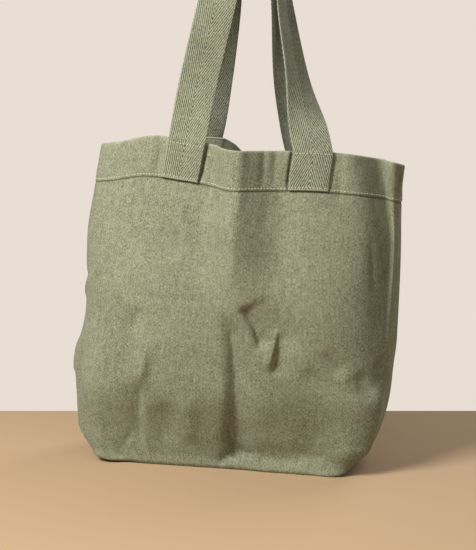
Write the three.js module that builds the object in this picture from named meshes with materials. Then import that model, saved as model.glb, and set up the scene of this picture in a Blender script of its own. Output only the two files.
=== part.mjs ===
// Linen tote bag with a boxed base, a folded hem and two herringbone webbing handles.
// It stands open on its base. Millimetres, +X right, +Y back, +Z up.
import * as THREE from 'three';
import { mergeVertices } from 'three/addons/utils/BufferGeometryUtils.js';

// Driving dimensions
const PANEL_WIDTH = 400; // each panel between its side seams
const BASE_DEPTH = 120; // boxed base, front edge to back edge
const HALF_BASE = BASE_DEPTH / 2;
const WALL_HEIGHT = 360; // base edge to rim, measured on the cloth
const HEM_DEPTH = 42;
const CLOTH = 1.6; // panel thickness with its seam turnings pressed flat
const HEM_RELIEF = 0.9; // how far the folded hem stands out of the cloth
const WEB_WIDTH = 40;
const WEB_THICKNESS = 2;
const FRONT_ENDS = [-64, 82]; // centre lines of the front handle's two ends, from the panel's middle
const BACK_ENDS = [-75, 56];
const PIECE_GAP = 0.3; // between neighbouring pieces
const FRONT_PITCH = 10; // column pitch of each panel's mesh
const BACK_PITCH = 20;
const LOOP_RADIUS = 18; // bend at the top of a handle
const LOOP_YAW = THREE.MathUtils.degToRad(25); // plan angle of the hook line the handles hang over
const LOOP_OFFSET = 21.5; // each handle's centre from the middle of the pair
const LOOP_CENTRE = new THREE.Vector3(33, 0, 612);
// Puts the origin under the middle of the bag's box
const ORIGIN_SHIFT = new THREE.Vector3(-11.4, 18.1, 0);

// Horizontal sections of the bag. left and right are the plan x of the side seams, seamLeft and
// seamRight their y, front and back the reach of each panel from the seams, squareLeft and
// squareRight the superellipse exponent of each half, ridge and slump the push of the mid fold of
// the front and of the back. trough is the depth of the front's fold beside the right seam and
// troughGap its distance from the seam.
const SECTION_COLUMNS = [
  'level', 'left', 'right', 'seamLeft', 'seamRight', 'front', 'back', 'squareLeft', 'squareRight',
  'ridge', 'slump', 'trough', 'troughGap',
];
const SECTIONS = [
  [0, -136, 135, 0, 0, 54, 56, 13, 13, 0, 0, 0, 20],
  [3, -142, 140, 0, 0, 55, 61, 13, 13, 0, 0, 0, 20],
  [9, -148, 146, 0, 0, 55.5, 64, 9, 9, 0, 0, 0, 20],
  [18, -155, 153, -1, 0, 57, 63, 7, 7, 0, 0, 0, 20],
  [40, -168, 168, -4, 0, 62, 60, 4, 4, 0, 0, 0, 20],
  [100, -171, 182, -8, -6, 74, 56, 2.9, 2.8, 0, 0, 0, 8],
  [180, -156, 187, -10, -14, 75, 54, 2.8, 2.5, 8, 4, 6, 7],
  [260, -154, 190, -12, -20, 67, 48, 2.7, 2.4, 16, 20, 12, 7],
  [320, -144, 191, -14, -24, 58, 40, 2.6, 2.3, 21, 34, 17, 14],
  [360, -136, 195, -15, -24, 56, 36, 2.5, 2.2, 23, 42, 20, 25],
].map((row) => Object.fromEntries(SECTION_COLUMNS.map((column, i) => [column, row[i]])));

// Plan of the two mid folds
const RIDGE = { x: 30, leftFlank: 22, leftPower: 2, rightFlank: 30, rightPower: 2 };
const TROUGH_FLANK = 15; // width of the trough's left slope
const TROUGH_SEAM_SHARE = 0.4; // width of its right slope, as a share of its gap to the seam
const SLUMP = { x: 24, leftFlank: 34, leftPower: 2, rightFlank: 42, rightPower: 2 };

// Height of each rim above the floor, by the cloth's distance from the panel's middle
const FRONT_RIM = [
  { across: -200, height: 351 },
  { across: -150, height: 355 },
  { across: -100, height: 362 },
  { across: -60, height: 357 },
  { across: 8, height: 347.5 },
  { across: 80, height: 347 },
  { across: 150, height: 340 },
  { across: 200, height: 331 },
];
const BACK_RIM = [
  { across: -200, height: 350 },
  { across: -110, height: 357 },
  { across: -75, height: 359 },
  { across: -55, height: 357.5 },
  { across: -40, height: 351 },
  { across: -26, height: 341 },
  { across: 10, height: 334 },
  { across: 80, height: 341 },
  { across: 200, height: 331 },
];

// The front left corner of the base is lifted clear of the floor by the cloth's own spring
const CORNER_LIFT = { x: -150, y: -66, reach: 85, height: 4, fade: 70 };

// Wall rows by level, with a close pair where the hem's stitched edge steps out
const HEM_START = WALL_HEIGHT - HEM_DEPTH;
const HEM_STEP = 0.8;
const LEVELS = [
  0, 3, 10, 22, 36, 52, 70, 90, 110, 130, 150, 170, 190, 210, 230, 250, 268, 286, 302,
  HEM_START, HEM_START + HEM_STEP, 332, 346, WALL_HEIGHT,
];

// Creases of each panel: from and to are [across, level] on the cloth, height is outward
const FRONT_FOLDS = [
  { name: 'mid valley, upper', from: [0, 188], to: [16, 128], width: 12, height: -7 },
  { name: 'mid valley, lower', from: [18, 104], to: [18, 18], width: 12, height: -8 },
  { name: 'short crease', from: [22, 192], to: [41, 154], width: 9, height: -4 },
  { name: 'pinch ridge', from: [54, 172], to: [51, 128], width: 9, height: 4 },
  { name: 'pinch valley', from: [68, 168], to: [64, 126], width: 9, height: -5 },
  { name: 'left pleat', from: [-71, 155], to: [-77, 34], width: 10, height: 6 },
  { name: 'left pleat valley', from: [-91, 155], to: [-93, 34], width: 12, height: -4 },
  { name: 'left side valley', from: [-157, 150], to: [-168, 88], width: 11, height: -9 },
  { name: 'left side flap', from: [-175, 150], to: [-184, 104], width: 14, height: 4 },
  { name: 'left wrinkle', from: [-158, 222], to: [-174, 200], width: 10, height: -3 },
  { name: 'strap swell', from: [122, 350], to: [124, 300], width: 11, height: 4 },
  { name: 'low diagonal', from: [137, 128], to: [158, 94], width: 11, height: -4 },
  { name: 'base tuck', from: [26, 20], to: [134, 32], width: 12, height: -4 },
  { name: 'low overhang', from: [-134, 6], to: [-10, 4], width: 44, height: -6 },
  { name: 'toe roll', from: [28, 7], to: [124, 7], width: 14, height: 5 },
];
const BACK_FOLDS = [
  { name: 'mid crease', from: [-6, 300], to: [10, 60], width: 16, height: -6 },
  { name: 'left drape', from: [-120, 320], to: [-90, 120], width: 18, height: 6 },
  { name: 'right drape', from: [110, 300], to: [130, 90], width: 18, height: -7 },
  { name: 'low roll', from: [-80, 26], to: [90, 30], width: 16, height: -6 },
];

// Free courses of the handle legs between the rim and the loop. turn is the plan angle
// of the webbing's outer face in degrees, 0 facing the front and 90 facing right.
const FRONT_LEFT_LEG = [
  { x: -18, y: -54, z: 420, turn: 12 },
  { x: -1, y: -42, z: 500, turn: 8 },
  { x: 14, y: -34, z: 565, turn: -25 },
];
const FRONT_RIGHT_LEG = [
  { x: 85, y: -40, z: 420, turn: 60 },
  { x: 67, y: -20, z: 500, turn: 76 },
  { x: 61, y: -14, z: 565, turn: 100 },
];
const BACK_LEFT_LEG = [
  { x: -23, y: 34, z: 420, turn: 206 },
  { x: -8, y: 23, z: 500, turn: 224 },
  { x: 2, y: 14, z: 565, turn: 252 },
];
const BACK_RIGHT_LEG = [
  { x: 58, y: 33, z: 420, turn: 142 },
  { x: 51, y: 26, z: 500, turn: 124 },
  { x: 46, y: 27, z: 565, turn: 118 },
];

const LINEN = { color: 0x8f8b6c, roughness: 0.95, metalness: 0 };
const WEBBING = { color: 0x84866a, roughness: 0.9, metalness: 0 };

// Smooth reading of a table: value of one column at a key, by monotone Hermite steps
function readTable(rows, keyName, key, column) {
  let i = 0;
  while (i < rows.length - 2 && rows[i + 1][keyName] < key) {
    i += 1;
  }
  const slope = (a, b) => (rows[b][column] - rows[a][column]) / (rows[b][keyName] - rows[a][keyName]);
  const tangent = (k) => {
    if (k === 0 || k === rows.length - 1) {
      return slope(Math.max(k - 1, 0), Math.min(k + 1, rows.length - 1));
    }
    const before = slope(k - 1, k);
    const after = slope(k, k + 1);
    return before * after <= 0 ? 0 : (2 * before * after) / (before + after);
  };
  const span = rows[i + 1][keyName] - rows[i][keyName];
  const u = THREE.MathUtils.clamp((key - rows[i][keyName]) / span, 0, 1);
  const ease = u * u * (3 - 2 * u);
  return (
    rows[i][column] * (1 - ease) +
    rows[i + 1][column] * ease +
    span * (u * (1 - u) * (1 - u) * tangent(i) - u * u * (1 - u) * tangent(i + 1))
  );
}

function sectionAt(level) {
  const row = {};
  for (const column of Object.keys(SECTIONS[0])) {
    row[column] = readTable(SECTIONS, 'level', level, column);
  }
  return row;
}

// How much of a mid fold's push a plan x gets
function midShare(fold, x) {
  const away = x - fold.x;
  const left = Math.exp(-(Math.abs(away / fold.leftFlank) ** fold.leftPower));
  const right = Math.exp(-(Math.abs(away / fold.rightFlank) ** fold.rightPower));
  return away < 0 ? left : right;
}

// Push of the front's mid fold and of the trough beside its right seam
function frontPush(row, x) {
  const away = x - (row.right - row.troughGap);
  const flank = away < 0 ? TROUGH_FLANK : TROUGH_SEAM_SHARE * row.troughGap;
  return row.ridge * midShare(RIDGE, x) - row.trough * Math.exp(-((away / flank) ** 2));
}

// Columns of a panel's mesh, as distances from its middle, with one on each edge of its webbing
function columnPlaces(ends, pitch) {
  const half = PANEL_WIDTH / 2;
  const webEdges = ends.flatMap((middle) => [middle - WEB_WIDTH / 2, middle + WEB_WIDTH / 2]);
  const cuts = [-half, HALF_BASE - half, ...webEdges, half - HALF_BASE, half];
  const places = [-half];
  for (let i = 1; i < cuts.length; i += 1) {
    const steps = Math.round((cuts[i] - cuts[i - 1]) / pitch);
    for (let k = 1; k <= steps; k += 1) {
      places.push(THREE.MathUtils.lerp(cuts[i - 1], cuts[i], k / steps));
    }
  }
  return places;
}

// Plan curve of one panel at a level, at the places of its columns on the cloth
function planCurve(level, side, places) {
  const row = sectionAt(level);
  const centre = (row.left + row.right) / 2;
  const halfWidth = (row.right - row.left) / 2;
  const reach = side < 0 ? row.front : row.back;
  const fine = 400;
  const points = [];
  for (let i = 0; i <= fine; i += 1) {
    const angle = (Math.PI * i) / fine;
    const cosine = Math.cos(angle);
    const power = 2 / (cosine > 0 ? row.squareLeft : row.squareRight);
    const x = centre - halfWidth * Math.sign(cosine) * Math.abs(cosine) ** power;
    const share = (x - row.left) / (row.right - row.left);
    const seam = THREE.MathUtils.lerp(row.seamLeft, row.seamRight, share);
    const push = side < 0 ? frontPush(row, x) : row.slump * midShare(SLUMP, x);
    const y = seam + side * (reach * Math.sin(angle) ** power + push);
    points.push(new THREE.Vector2(x, y));
  }
  const lengths = [0];
  for (let i = 1; i <= fine; i += 1) {
    lengths.push(lengths[i - 1] + points[i].distanceTo(points[i - 1]));
  }
  const spots = [];
  let k = 0;
  for (const place of places) {
    const target = lengths[fine] * (place / PANEL_WIDTH + 0.5);
    while (k < fine - 1 && lengths[k + 1] < target) {
      k += 1;
    }
    const u = (target - lengths[k]) / (lengths[k + 1] - lengths[k]);
    spots.push(points[k].clone().lerp(points[k + 1], u));
  }
  return spots;
}

// Outward push of all creases at a place on the cloth
function foldPush(folds, across, level) {
  let push = 0;
  for (const fold of folds) {
    const [fromAcross, fromLevel] = fold.from;
    const [toAcross, toLevel] = fold.to;
    const dx = toAcross - fromAcross;
    const dy = toLevel - fromLevel;
    const along = ((across - fromAcross) * dx + (level - fromLevel) * dy) / (dx * dx + dy * dy);
    const u = THREE.MathUtils.clamp(along, 0, 1);
    const away = Math.hypot(across - fromAcross - u * dx, level - fromLevel - u * dy);
    push += fold.height * Math.exp(-((away / fold.width) ** 2));
  }
  return push;
}

// Height that the lifted corner adds at a point
function cornerLift(point) {
  const away = Math.hypot(point.x - CORNER_LIFT.x, point.y - CORNER_LIFT.y) / CORNER_LIFT.reach;
  const rise = Math.max(0, 1 - point.z / CORNER_LIFT.fade);
  return CORNER_LIFT.height * Math.max(0, 1 - away * away) ** 2 * rise;
}

// A closed sheet from one skin of quads: the skin pushed out, the skin pushed in, and its edges
function sheetGeometry(points, normals, quads, outward, inward) {
  const positions = [];
  const index = [];
  points.forEach((point, i) => {
    positions.push(...point.clone().addScaledVector(normals[i], outward[i]).toArray());
  });
  points.forEach((point, i) => {
    positions.push(...point.clone().addScaledVector(normals[i], -inward[i]).toArray());
  });
  const inner = points.length;
  const edges = new Map();
  for (const quad of quads) {
    const [a, b, c, d] = quad;
    index.push(a, b, c, a, c, d);
    index.push(inner + a, inner + c, inner + b, inner + a, inner + d, inner + c);
    quad.forEach((start, i) => {
      const end = quad[(i + 1) % 4];
      const reverse = `${end}_${start}`;
      if (edges.has(reverse)) {
        edges.delete(reverse);
      } else {
        edges.set(`${start}_${end}`, [start, end]);
      }
    });
  }
  for (const [start, end] of edges.values()) {
    index.push(end, start, inner + start, end, inner + start, inner + end);
  }
  const geometry = new THREE.BufferGeometry();
  geometry.setAttribute('position', new THREE.Float32BufferAttribute(positions, 3));
  geometry.setIndex(index);
  return mergeVertices(geometry, 1e-4);
}

function skinNormals(points, quads) {
  const normals = points.map(() => new THREE.Vector3());
  const first = new THREE.Vector3();
  const second = new THREE.Vector3();
  for (const [a, b, c, d] of quads) {
    first.subVectors(points[c], points[a]);
    second.subVectors(points[d], points[b]);
    first.cross(second);
    for (const corner of [a, b, c, d]) {
      normals[corner].add(first);
    }
  }
  normals.forEach((normal) => normal.normalize());
  return normals;
}

// One panel: its wall with the two gusset halves, and its half of the base. side is -1 for the front.
function panelSkin(side, rim, folds, ends, pitch) {
  const places = columnPlaces(ends, pitch);
  const columns = places.length - 1;
  const corner = HALF_BASE / pitch;
  const points = [];
  const wall = LEVELS.map((level) => {
    const plan = planCurve(level, side, places);
    return plan.map((spot, i) => {
      const seamGap = i === 0 || i === columns ? (side * PIECE_GAP) / 2 : 0;
      const height = (level / WALL_HEIGHT) * readTable(rim, 'across', places[i], 'height');
      points.push(new THREE.Vector3(spot.x, spot.y + seamGap, height));
      return points.length - 1;
    });
  });
  const quads = [];
  const addQuad = (a, b, c, d) => quads.push(side < 0 ? [a, b, c, d] : [b, a, d, c]);
  for (let r = 0; r < LEVELS.length - 1; r += 1) {
    for (let i = 0; i < columns; i += 1) {
      addQuad(wall[r][i], wall[r][i + 1], wall[r + 1][i + 1], wall[r + 1][i]);
    }
  }

  // Half base, filled between the front edge, the two gusset edges and the middle seam
  const edge = wall[0];
  const last = columns - corner;
  const base = [];
  for (let k = 0; k <= corner; k += 1) {
    base.push([]);
    for (let i = corner; i <= last; i += 1) {
      if (k === 0) {
        base[k].push(edge[i]);
      } else if (i === corner) {
        base[k].push(edge[corner - k]);
      } else if (i === last) {
        base[k].push(edge[last + k]);
      } else {
        const u = (i - corner) / (last - corner);
        const v = k / corner;
        const seam = points[edge[0]].clone().lerp(points[edge[columns]], u);
        const west = points[edge[corner - k]].clone();
        const east = points[edge[last + k]];
        const cornersBlend = points[edge[corner]].clone().lerp(points[edge[last]], u).multiplyScalar(1 - v);
        cornersBlend.addScaledVector(seam, v);
        const spot = points[edge[i]].clone().multiplyScalar(1 - v).addScaledVector(seam, v);
        spot.add(west.lerp(east, u)).sub(cornersBlend);
        points.push(spot);
        base[k].push(points.length - 1);
      }
    }
  }
  for (let k = 0; k < corner; k += 1) {
    for (let i = 0; i < last - corner; i += 1) {
      addQuad(base[k + 1][i], base[k + 1][i + 1], base[k][i + 1], base[k][i]);
    }
  }

  // Creases push the wall along its own normals, level at its foot, then the normals are taken again
  const flat = skinNormals(points, quads);
  edge.forEach((vertex) => flat[vertex].setZ(0).normalize());
  LEVELS.forEach((level, r) => {
    wall[r].forEach((vertex, i) => {
      if (i > 0 && i < columns) {
        points[vertex].addScaledVector(flat[vertex], foldPush(folds, places[i], level));
      }
    });
  });
  for (const point of points) {
    point.z = Math.max(0, point.z) + cornerLift(point);
  }
  const normals = skinNormals(points, quads);
  const seamLine = [...wall.map((row) => row[0]), ...wall.map((row) => row[columns])];
  for (const vertex of [...seamLine, ...base[corner]]) {
    normals[vertex].setY(0).normalize();
  }
  const relief = points.map(() => 0);
  LEVELS.forEach((level, r) => {
    if (level > HEM_START) {
      wall[r].forEach((vertex) => {
        relief[vertex] = HEM_RELIEF;
      });
    }
  });
  return { points, normals, quads, wall, relief, places };
}

function panelMesh(name, skin) {
  const inward = skin.points.map(() => CLOTH);
  const geometry = sheetGeometry(skin.points, skin.normals, skin.quads, skin.relief, inward);
  const mesh = new THREE.Mesh(geometry, new THREE.MeshStandardMaterial(LINEN));
  mesh.name = name;
  return mesh;
}

// Cross rows of one handle end where it lies on the hem, from its cut end up to the rim
function sewnRows(skin, middle) {
  const first = LEVELS.indexOf(HEM_START + HEM_STEP);
  const left = skin.places.indexOf(middle - WEB_WIDTH / 2);
  const right = skin.places.indexOf(middle + WEB_WIDTH / 2);
  const rows = [];
  for (let r = first; r < LEVELS.length; r += 1) {
    const row = { points: [], normals: [] };
    for (let i = left; i <= right; i += 1) {
      const vertex = skin.wall[r][i];
      const lift = skin.relief[vertex] + PIECE_GAP + WEB_THICKNESS / 2;
      row.points.push(skin.points[vertex].clone().addScaledVector(skin.normals[vertex], lift));
      row.normals.push(skin.normals[vertex].clone());
    }
    rows.push(row);
  }
  return rows;
}

// Places and outward directions along the free part of a handle, left leg to right leg
function handleCourse(leftRim, leftLeg, rightRim, rightLeg, side) {
  const hook = new THREE.Vector3(Math.cos(LOOP_YAW), Math.sin(LOOP_YAW), 0);
  const width = new THREE.Vector3(-Math.sin(LOOP_YAW), Math.cos(LOOP_YAW), 0);
  const centre = LOOP_CENTRE.clone().addScaledVector(width, side * LOOP_OFFSET);
  const facing = (turn) => {
    const angle = THREE.MathUtils.degToRad(turn);
    return new THREE.Vector3(Math.sin(angle), -Math.cos(angle), 0);
  };
  const places = [leftRim.place];
  const normals = [leftRim.normal];
  for (const row of leftLeg) {
    places.push(new THREE.Vector3(row.x, row.y, row.z));
    normals.push(facing(row.turn));
  }
  const loopSteps = 4;
  for (let i = 0; i <= loopSteps; i += 1) {
    const angle = Math.PI * (1 - i / loopSteps);
    const outward = hook.clone().multiplyScalar(Math.cos(angle)).setZ(Math.sin(angle));
    places.push(centre.clone().addScaledVector(outward, LOOP_RADIUS));
    normals.push(outward);
  }
  for (const row of [...rightLeg].reverse()) {
    places.push(new THREE.Vector3(row.x, row.y, row.z));
    normals.push(facing(row.turn));
  }
  places.push(rightRim.place);
  normals.push(rightRim.normal);
  return {
    line: new THREE.CatmullRomCurve3(places, false, 'centripetal'),
    facing: new THREE.CatmullRomCurve3(normals, false, 'catmullrom'),
  };
}

function rimStation(row) {
  const middle = (row.points.length - 1) / 2;
  return { place: row.points[middle], normal: row.normals[middle] };
}

function handleMesh(name, skin, side, ends, leftLeg, rightLeg) {
  const leftRows = sewnRows(skin, ends[0]);
  const rightRows = sewnRows(skin, ends[1]);
  const across = leftRows[0].points.length - 1;
  const leftRim = rimStation(leftRows[leftRows.length - 1]);
  const rightRim = rimStation(rightRows[rightRows.length - 1]);
  const course = handleCourse(leftRim, leftLeg, rightRim, rightLeg, side);
  const rows = [...leftRows];
  const steps = 48;
  for (let i = 1; i < steps; i += 1) {
    const u = i / steps;
    const place = course.line.getPoint(u);
    const tangent = course.line.getTangent(u);
    const normal = course.facing.getPoint(u);
    const sideways = new THREE.Vector3().crossVectors(normal, tangent).normalize();
    normal.crossVectors(tangent, sideways).normalize();
    const row = { points: [], normals: [] };
    for (let k = 0; k <= across; k += 1) {
      const reach = side * WEB_WIDTH * (k / across - 0.5);
      row.points.push(place.clone().addScaledVector(sideways, reach));
      row.normals.push(normal.clone());
    }
    rows.push(row);
  }
  // The right leg is walked from the loop down, so its columns run the other way
  for (const row of [...rightRows].reverse()) {
    rows.push({ points: [...row.points].reverse(), normals: [...row.normals].reverse() });
  }
  const points = rows.flatMap((row) => row.points);
  const normals = rows.flatMap((row) => row.normals);
  const quads = [];
  const wide = across + 1;
  for (let r = 0; r < rows.length - 1; r += 1) {
    for (let k = 0; k < across; k += 1) {
      const a = r * wide + k;
      const quad = [a, a + 1, a + wide + 1, a + wide];
      quads.push(side < 0 ? quad : [...quad].reverse());
    }
  }
  const half = points.map(() => WEB_THICKNESS / 2);
  const geometry = sheetGeometry(points, normals, quads, half, half);
  const mesh = new THREE.Mesh(geometry, new THREE.MeshStandardMaterial(WEBBING));
  mesh.name = name;
  return mesh;
}

const frontSkin = panelSkin(-1, FRONT_RIM, FRONT_FOLDS, FRONT_ENDS, FRONT_PITCH);
const backSkin = panelSkin(1, BACK_RIM, BACK_FOLDS, BACK_ENDS, BACK_PITCH);

const bag = new THREE.Group();
bag.name = 'tote_bag';
bag.add(panelMesh('front_panel', frontSkin));
bag.add(panelMesh('back_panel', backSkin));
bag.add(handleMesh('handle_front', frontSkin, -1, FRONT_ENDS, FRONT_LEFT_LEG, FRONT_RIGHT_LEG));
bag.add(handleMesh('handle_back', backSkin, 1, BACK_ENDS, BACK_LEFT_LEG, BACK_RIGHT_LEG));
bag.position.copy(ORIGIN_SHIFT);

export default bag;
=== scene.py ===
"""Linen tote bag standing on its boxed base, with herringbone webbing handles, in a plain studio."""

import logging
import math
from collections.abc import Sequence
from dataclasses import dataclass, fields
from enum import Enum

import bmesh
import bpy
import numpy as np
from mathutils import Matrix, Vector, noise


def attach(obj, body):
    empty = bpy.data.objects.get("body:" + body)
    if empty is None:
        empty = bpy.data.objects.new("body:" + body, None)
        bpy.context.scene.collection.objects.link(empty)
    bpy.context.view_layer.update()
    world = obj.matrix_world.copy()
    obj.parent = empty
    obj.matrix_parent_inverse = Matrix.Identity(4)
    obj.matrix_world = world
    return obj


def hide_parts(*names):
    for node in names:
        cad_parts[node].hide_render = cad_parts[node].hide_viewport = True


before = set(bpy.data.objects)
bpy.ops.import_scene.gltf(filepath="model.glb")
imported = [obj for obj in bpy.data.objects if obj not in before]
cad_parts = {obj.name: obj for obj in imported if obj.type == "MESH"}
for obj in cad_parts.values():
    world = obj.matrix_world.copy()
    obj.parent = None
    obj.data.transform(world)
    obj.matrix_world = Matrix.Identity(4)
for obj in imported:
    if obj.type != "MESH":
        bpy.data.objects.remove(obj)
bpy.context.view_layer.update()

LOG = logging.getLogger("tote")
MM = 0.001  # metres in a millimetre; every size below is in millimetres


class Side(Enum):
    """Which panel of the bag: the value is the way its outside faces along Y."""

    FRONT = -1
    BACK = 1


@dataclass(frozen=True)
class BagSizes:
    """Driving sizes of the cut cloth and the handles' course."""

    panel_width: float = 400.0
    base_depth: float = 120.0
    wall_height: float = 360.0
    hem_depth: float = 42.0
    cloth: float = 1.4
    hem_cloth: float = 2.3
    piece_gap: float = 0.3
    web_width: float = 40.0
    web_thickness: float = 2.0
    front_ends: tuple[float, float] = (-64.0, 82.0)
    back_ends: tuple[float, float] = (-75.0, 56.0)
    loop_radius: float = 18.0
    loop_yaw: float = math.radians(25)
    loop_offset: float = 21.5
    loop_centre: tuple[float, float, float] = (33.0, 0.0, 612.0)
    origin_shift: tuple[float, float, float] = (-11.4, 18.1, 0.0)

    @property
    def half_width(self) -> float:
        """Distance of the side seams from the panel's middle line."""
        return self.panel_width / 2

    @property
    def half_base(self) -> float:
        """Depth of the half base that each panel carries."""
        return self.base_depth / 2

    @property
    def half_length(self) -> float:
        """Distance of the base's corners from the panel's middle line."""
        return self.half_width - self.half_base

    @property
    def hem_start(self) -> float:
        """Level of the hem's stitched lower edge."""
        return self.wall_height - self.hem_depth

    @property
    def panel_length(self) -> float:
        """Length of a cut panel, from its rim to the middle of the base."""
        return self.wall_height + self.half_base

    @property
    def panel_area(self) -> float:
        """Area of a cut panel, less the two squares at its base's corners."""
        return self.panel_width * self.panel_length - 2 * self.half_base**2


@dataclass(frozen=True)
class ClothGrid:
    """Spacing of a panel's mesh, closer in its middle, beside the straps, at the hem and at the rim.

    strap_columns are counted from a strap's inner edge, hem_rows and hem_body_start up from the hem's
    lower edge, rim_rows up from the rim and hem_body_end down from it.
    """

    cell: float = 2.0
    fine_cell: float = 1.4
    coarse_cell: float = 2.35
    fine_across: tuple[float, float] = (-24.0, 72.0)
    strap_columns: tuple[float, ...] = (-3.0, -1.0, 1.0, 3.0)
    roll_rows: tuple[float, ...] = (0.0, 1.5, 3.0, 5.0, 7.5)
    body_start: float = 10.0
    hem_rows: tuple[float, ...] = (-3.0, -1.6, -0.8, -0.3, 0.2, 0.7, 1.4, 2.6)
    hem_body_start: float = 5.0
    hem_body_end: float = 3.0
    rim_rows: tuple[float, ...] = (-2.4, -1.2, -0.5, 0.0)


@dataclass(frozen=True)
class WebbingSizes:
    """The webbing's weave, its edges and how it lies on the hem and turns over at the top.

    rib_profile holds the heights of one rib's rows, and edge_thickness the share of the thickness
    that is left at the very edge. edge_margin is the strip at either edge that follows no crease of
    the cloth, and stand_off the inner edge's lift. The sewn part ends hem_gap above the hem's lower
    edge and rim_gap below the rim, and the free part eases onto it over rim_ease. span_steps divides
    the course between two key places, and turn_steps the half turn at the top.
    """

    columns: int = 70
    rib_length: float = 5.3
    rib_steps: int = 4
    rib_profile: tuple[float, ...] = (0.3, 0.14, -0.14, 0.06)
    spine_column: int = 34
    selvedge_columns: int = 2
    selvedge_height: float = 0.14
    selvedge_ripple: float = 0.06
    selvedge_width: float = 1.0
    edge_thickness: float = 0.55
    edge_round: float = 1.4
    edge_margin: float = 3.0
    stand_off: float = 0.3
    hem_gap: float = 0.6
    rim_gap: float = 2.0
    sewn_step: float = 1.0
    rim_ease: float = 36.0
    span_steps: int = 60
    turn_steps: int = 4
    worn_rows: float = 1.2


@dataclass(frozen=True)
class StitchSizes:
    """One stitch, and how far the rows of stitches keep from the edges that they follow.

    lift is a stitch's height over its face. seam_gap, strap_gap and inner_gap end the hem's row short
    of the side seam, of a strap's outer edge and of its inner edge. web_gap and web_end keep the rows
    on the webbing off its selvedges and off the ends of its sewn part.
    """

    pitch: float = 3.4
    length: float = 2.2
    thread: float = 0.9
    segments: int = 6
    rings: int = 4
    lift: float = 0.35
    hem_inset: float = 2.2
    seam_gap: float = 3.0
    strap_gap: float = 1.0
    inner_gap: float = 2.0
    web_gap: float = 2.0
    web_end: float = 3.0


SIZES = BagSizes()
GRID = ClothGrid()
WEBBING = WebbingSizes()
STITCH = StitchSizes()


@dataclass(frozen=True)
class Section:
    """A horizontal section of the bag.

    left and right are the plan x of the side seams, seam_left and seam_right their y, front and back
    the reach of each panel, square_left and square_right the superellipse exponents, ridge and slump
    the mid folds, and trough and trough_gap the fold beside the right seam.
    """

    level: float
    left: float
    right: float
    seam_left: float
    seam_right: float
    front: float
    back: float
    square_left: float
    square_right: float
    ridge: float
    slump: float
    trough: float
    trough_gap: float


SECTIONS = (
    Section(0, -136, 135, 0, 0, 54, 56, 13, 13, 0, 0, 0, 20),
    Section(3, -142, 140, 0, 0, 55, 61, 13, 13, 0, 0, 0, 20),
    Section(9, -148, 146, 0, 0, 55.5, 64, 9, 9, 0, 0, 0, 20),
    Section(18, -155, 153, -1, 0, 57, 63, 7, 7, 0, 0, 0, 20),
    Section(40, -168, 168, -4, 0, 62, 60, 4, 4, 0, 0, 0, 20),
    Section(100, -171, 182, -8, -6, 74, 56, 2.9, 2.8, 0, 0, 0, 8),
    Section(180, -156, 187, -10, -14, 75, 54, 2.8, 2.5, 8, 4, 6, 7),
    Section(260, -154, 190, -12, -20, 67, 48, 2.7, 2.4, 16, 20, 12, 7),
    Section(320, -144, 191, -14, -24, 58, 40, 2.6, 2.3, 21, 34, 17, 14),
    Section(360, -136, 195, -15, -24, 56, 36, 2.5, 2.2, 23, 42, 20, 25),
)


@dataclass(frozen=True)
class MidFold:
    """Plan shape of the fold between a panel's handle ends."""

    x: float
    left_flank: float
    left_power: float
    right_flank: float
    right_power: float

    def share(self, x: np.ndarray) -> np.ndarray:
        """Share of the fold's push at each plan x.

        Args:
            x: plan places along the panel.

        Returns:
            Values from 0 to 1.
        """
        away = x - self.x
        left = np.exp(-np.abs(away / self.left_flank) ** self.left_power)
        right = np.exp(-np.abs(away / self.right_flank) ** self.right_power)
        return np.where(away < 0, left, right)


@dataclass(frozen=True)
class RimPoint:
    """Height of a rim above the floor at a distance across the panel."""

    across: float
    height: float


@dataclass(frozen=True)
class Fold:
    """A soft crease or swell that follows a path on the flat cloth, pushed outward by its height.

    left and right are the widths of its slopes on either hand, walking from the first point to the
    last. fade is the share of its length over which it grows at the start and dies out at the end.
    A power of 2 gives a round section, and one near 1 a sharp line.
    """

    name: str
    path: tuple[tuple[float, float], ...]
    left: float
    right: float
    height: float
    fade: tuple[float, float] = (0.35, 0.35)
    power: float = 2.0

    def push(self, across: np.ndarray, level: np.ndarray) -> np.ndarray:
        """Outward push of the fold at places on the cloth.

        Args:
            across: distances from the panel's middle line.
            level: distances above the base edge.

        Returns:
            The push at each place.
        """
        corners = np.array(self.path, float)
        lengths = np.hypot(*np.diff(corners, axis=0).T)
        nearest = np.full(across.shape, np.inf)
        width = np.full(across.shape, self.left)
        share = np.zeros(across.shape)
        walked = 0.0
        for (x0, y0), (x1, y1), length in zip(corners[:-1], corners[1:], lengths):
            dx, dy = (x1 - x0) / length, (y1 - y0) / length
            along = np.clip((across - x0) * dx + (level - y0) * dy, 0, length)
            off_x, off_y = across - x0 - along * dx, level - y0 - along * dy
            away = np.hypot(off_x, off_y)
            closer = away < nearest
            nearest = np.where(closer, away, nearest)
            width = np.where(closer, np.where(dx * off_y - dy * off_x > 0, self.left, self.right), width)
            share = np.where(closer, (walked + along) / lengths.sum(), share)
            walked += length
        ends = fade_in(share, self.fade[0]) * fade_in(1 - share, self.fade[1])
        return self.height * ends * np.exp(-((nearest / width) ** self.power))


@dataclass(frozen=True)
class LegPoint:
    """A place on a handle's free leg. turn is the plan angle of the webbing's outer face in degrees."""

    x: float
    y: float
    z: float
    turn: float

    def place(self) -> Vector:
        """The place as a point."""
        return Vector((self.x, self.y, self.z))

    def facing(self) -> Vector:
        """Unit vector of the turn, 0 facing the front."""
        angle = math.radians(self.turn)
        return Vector((math.sin(angle), -math.cos(angle), 0))


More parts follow.
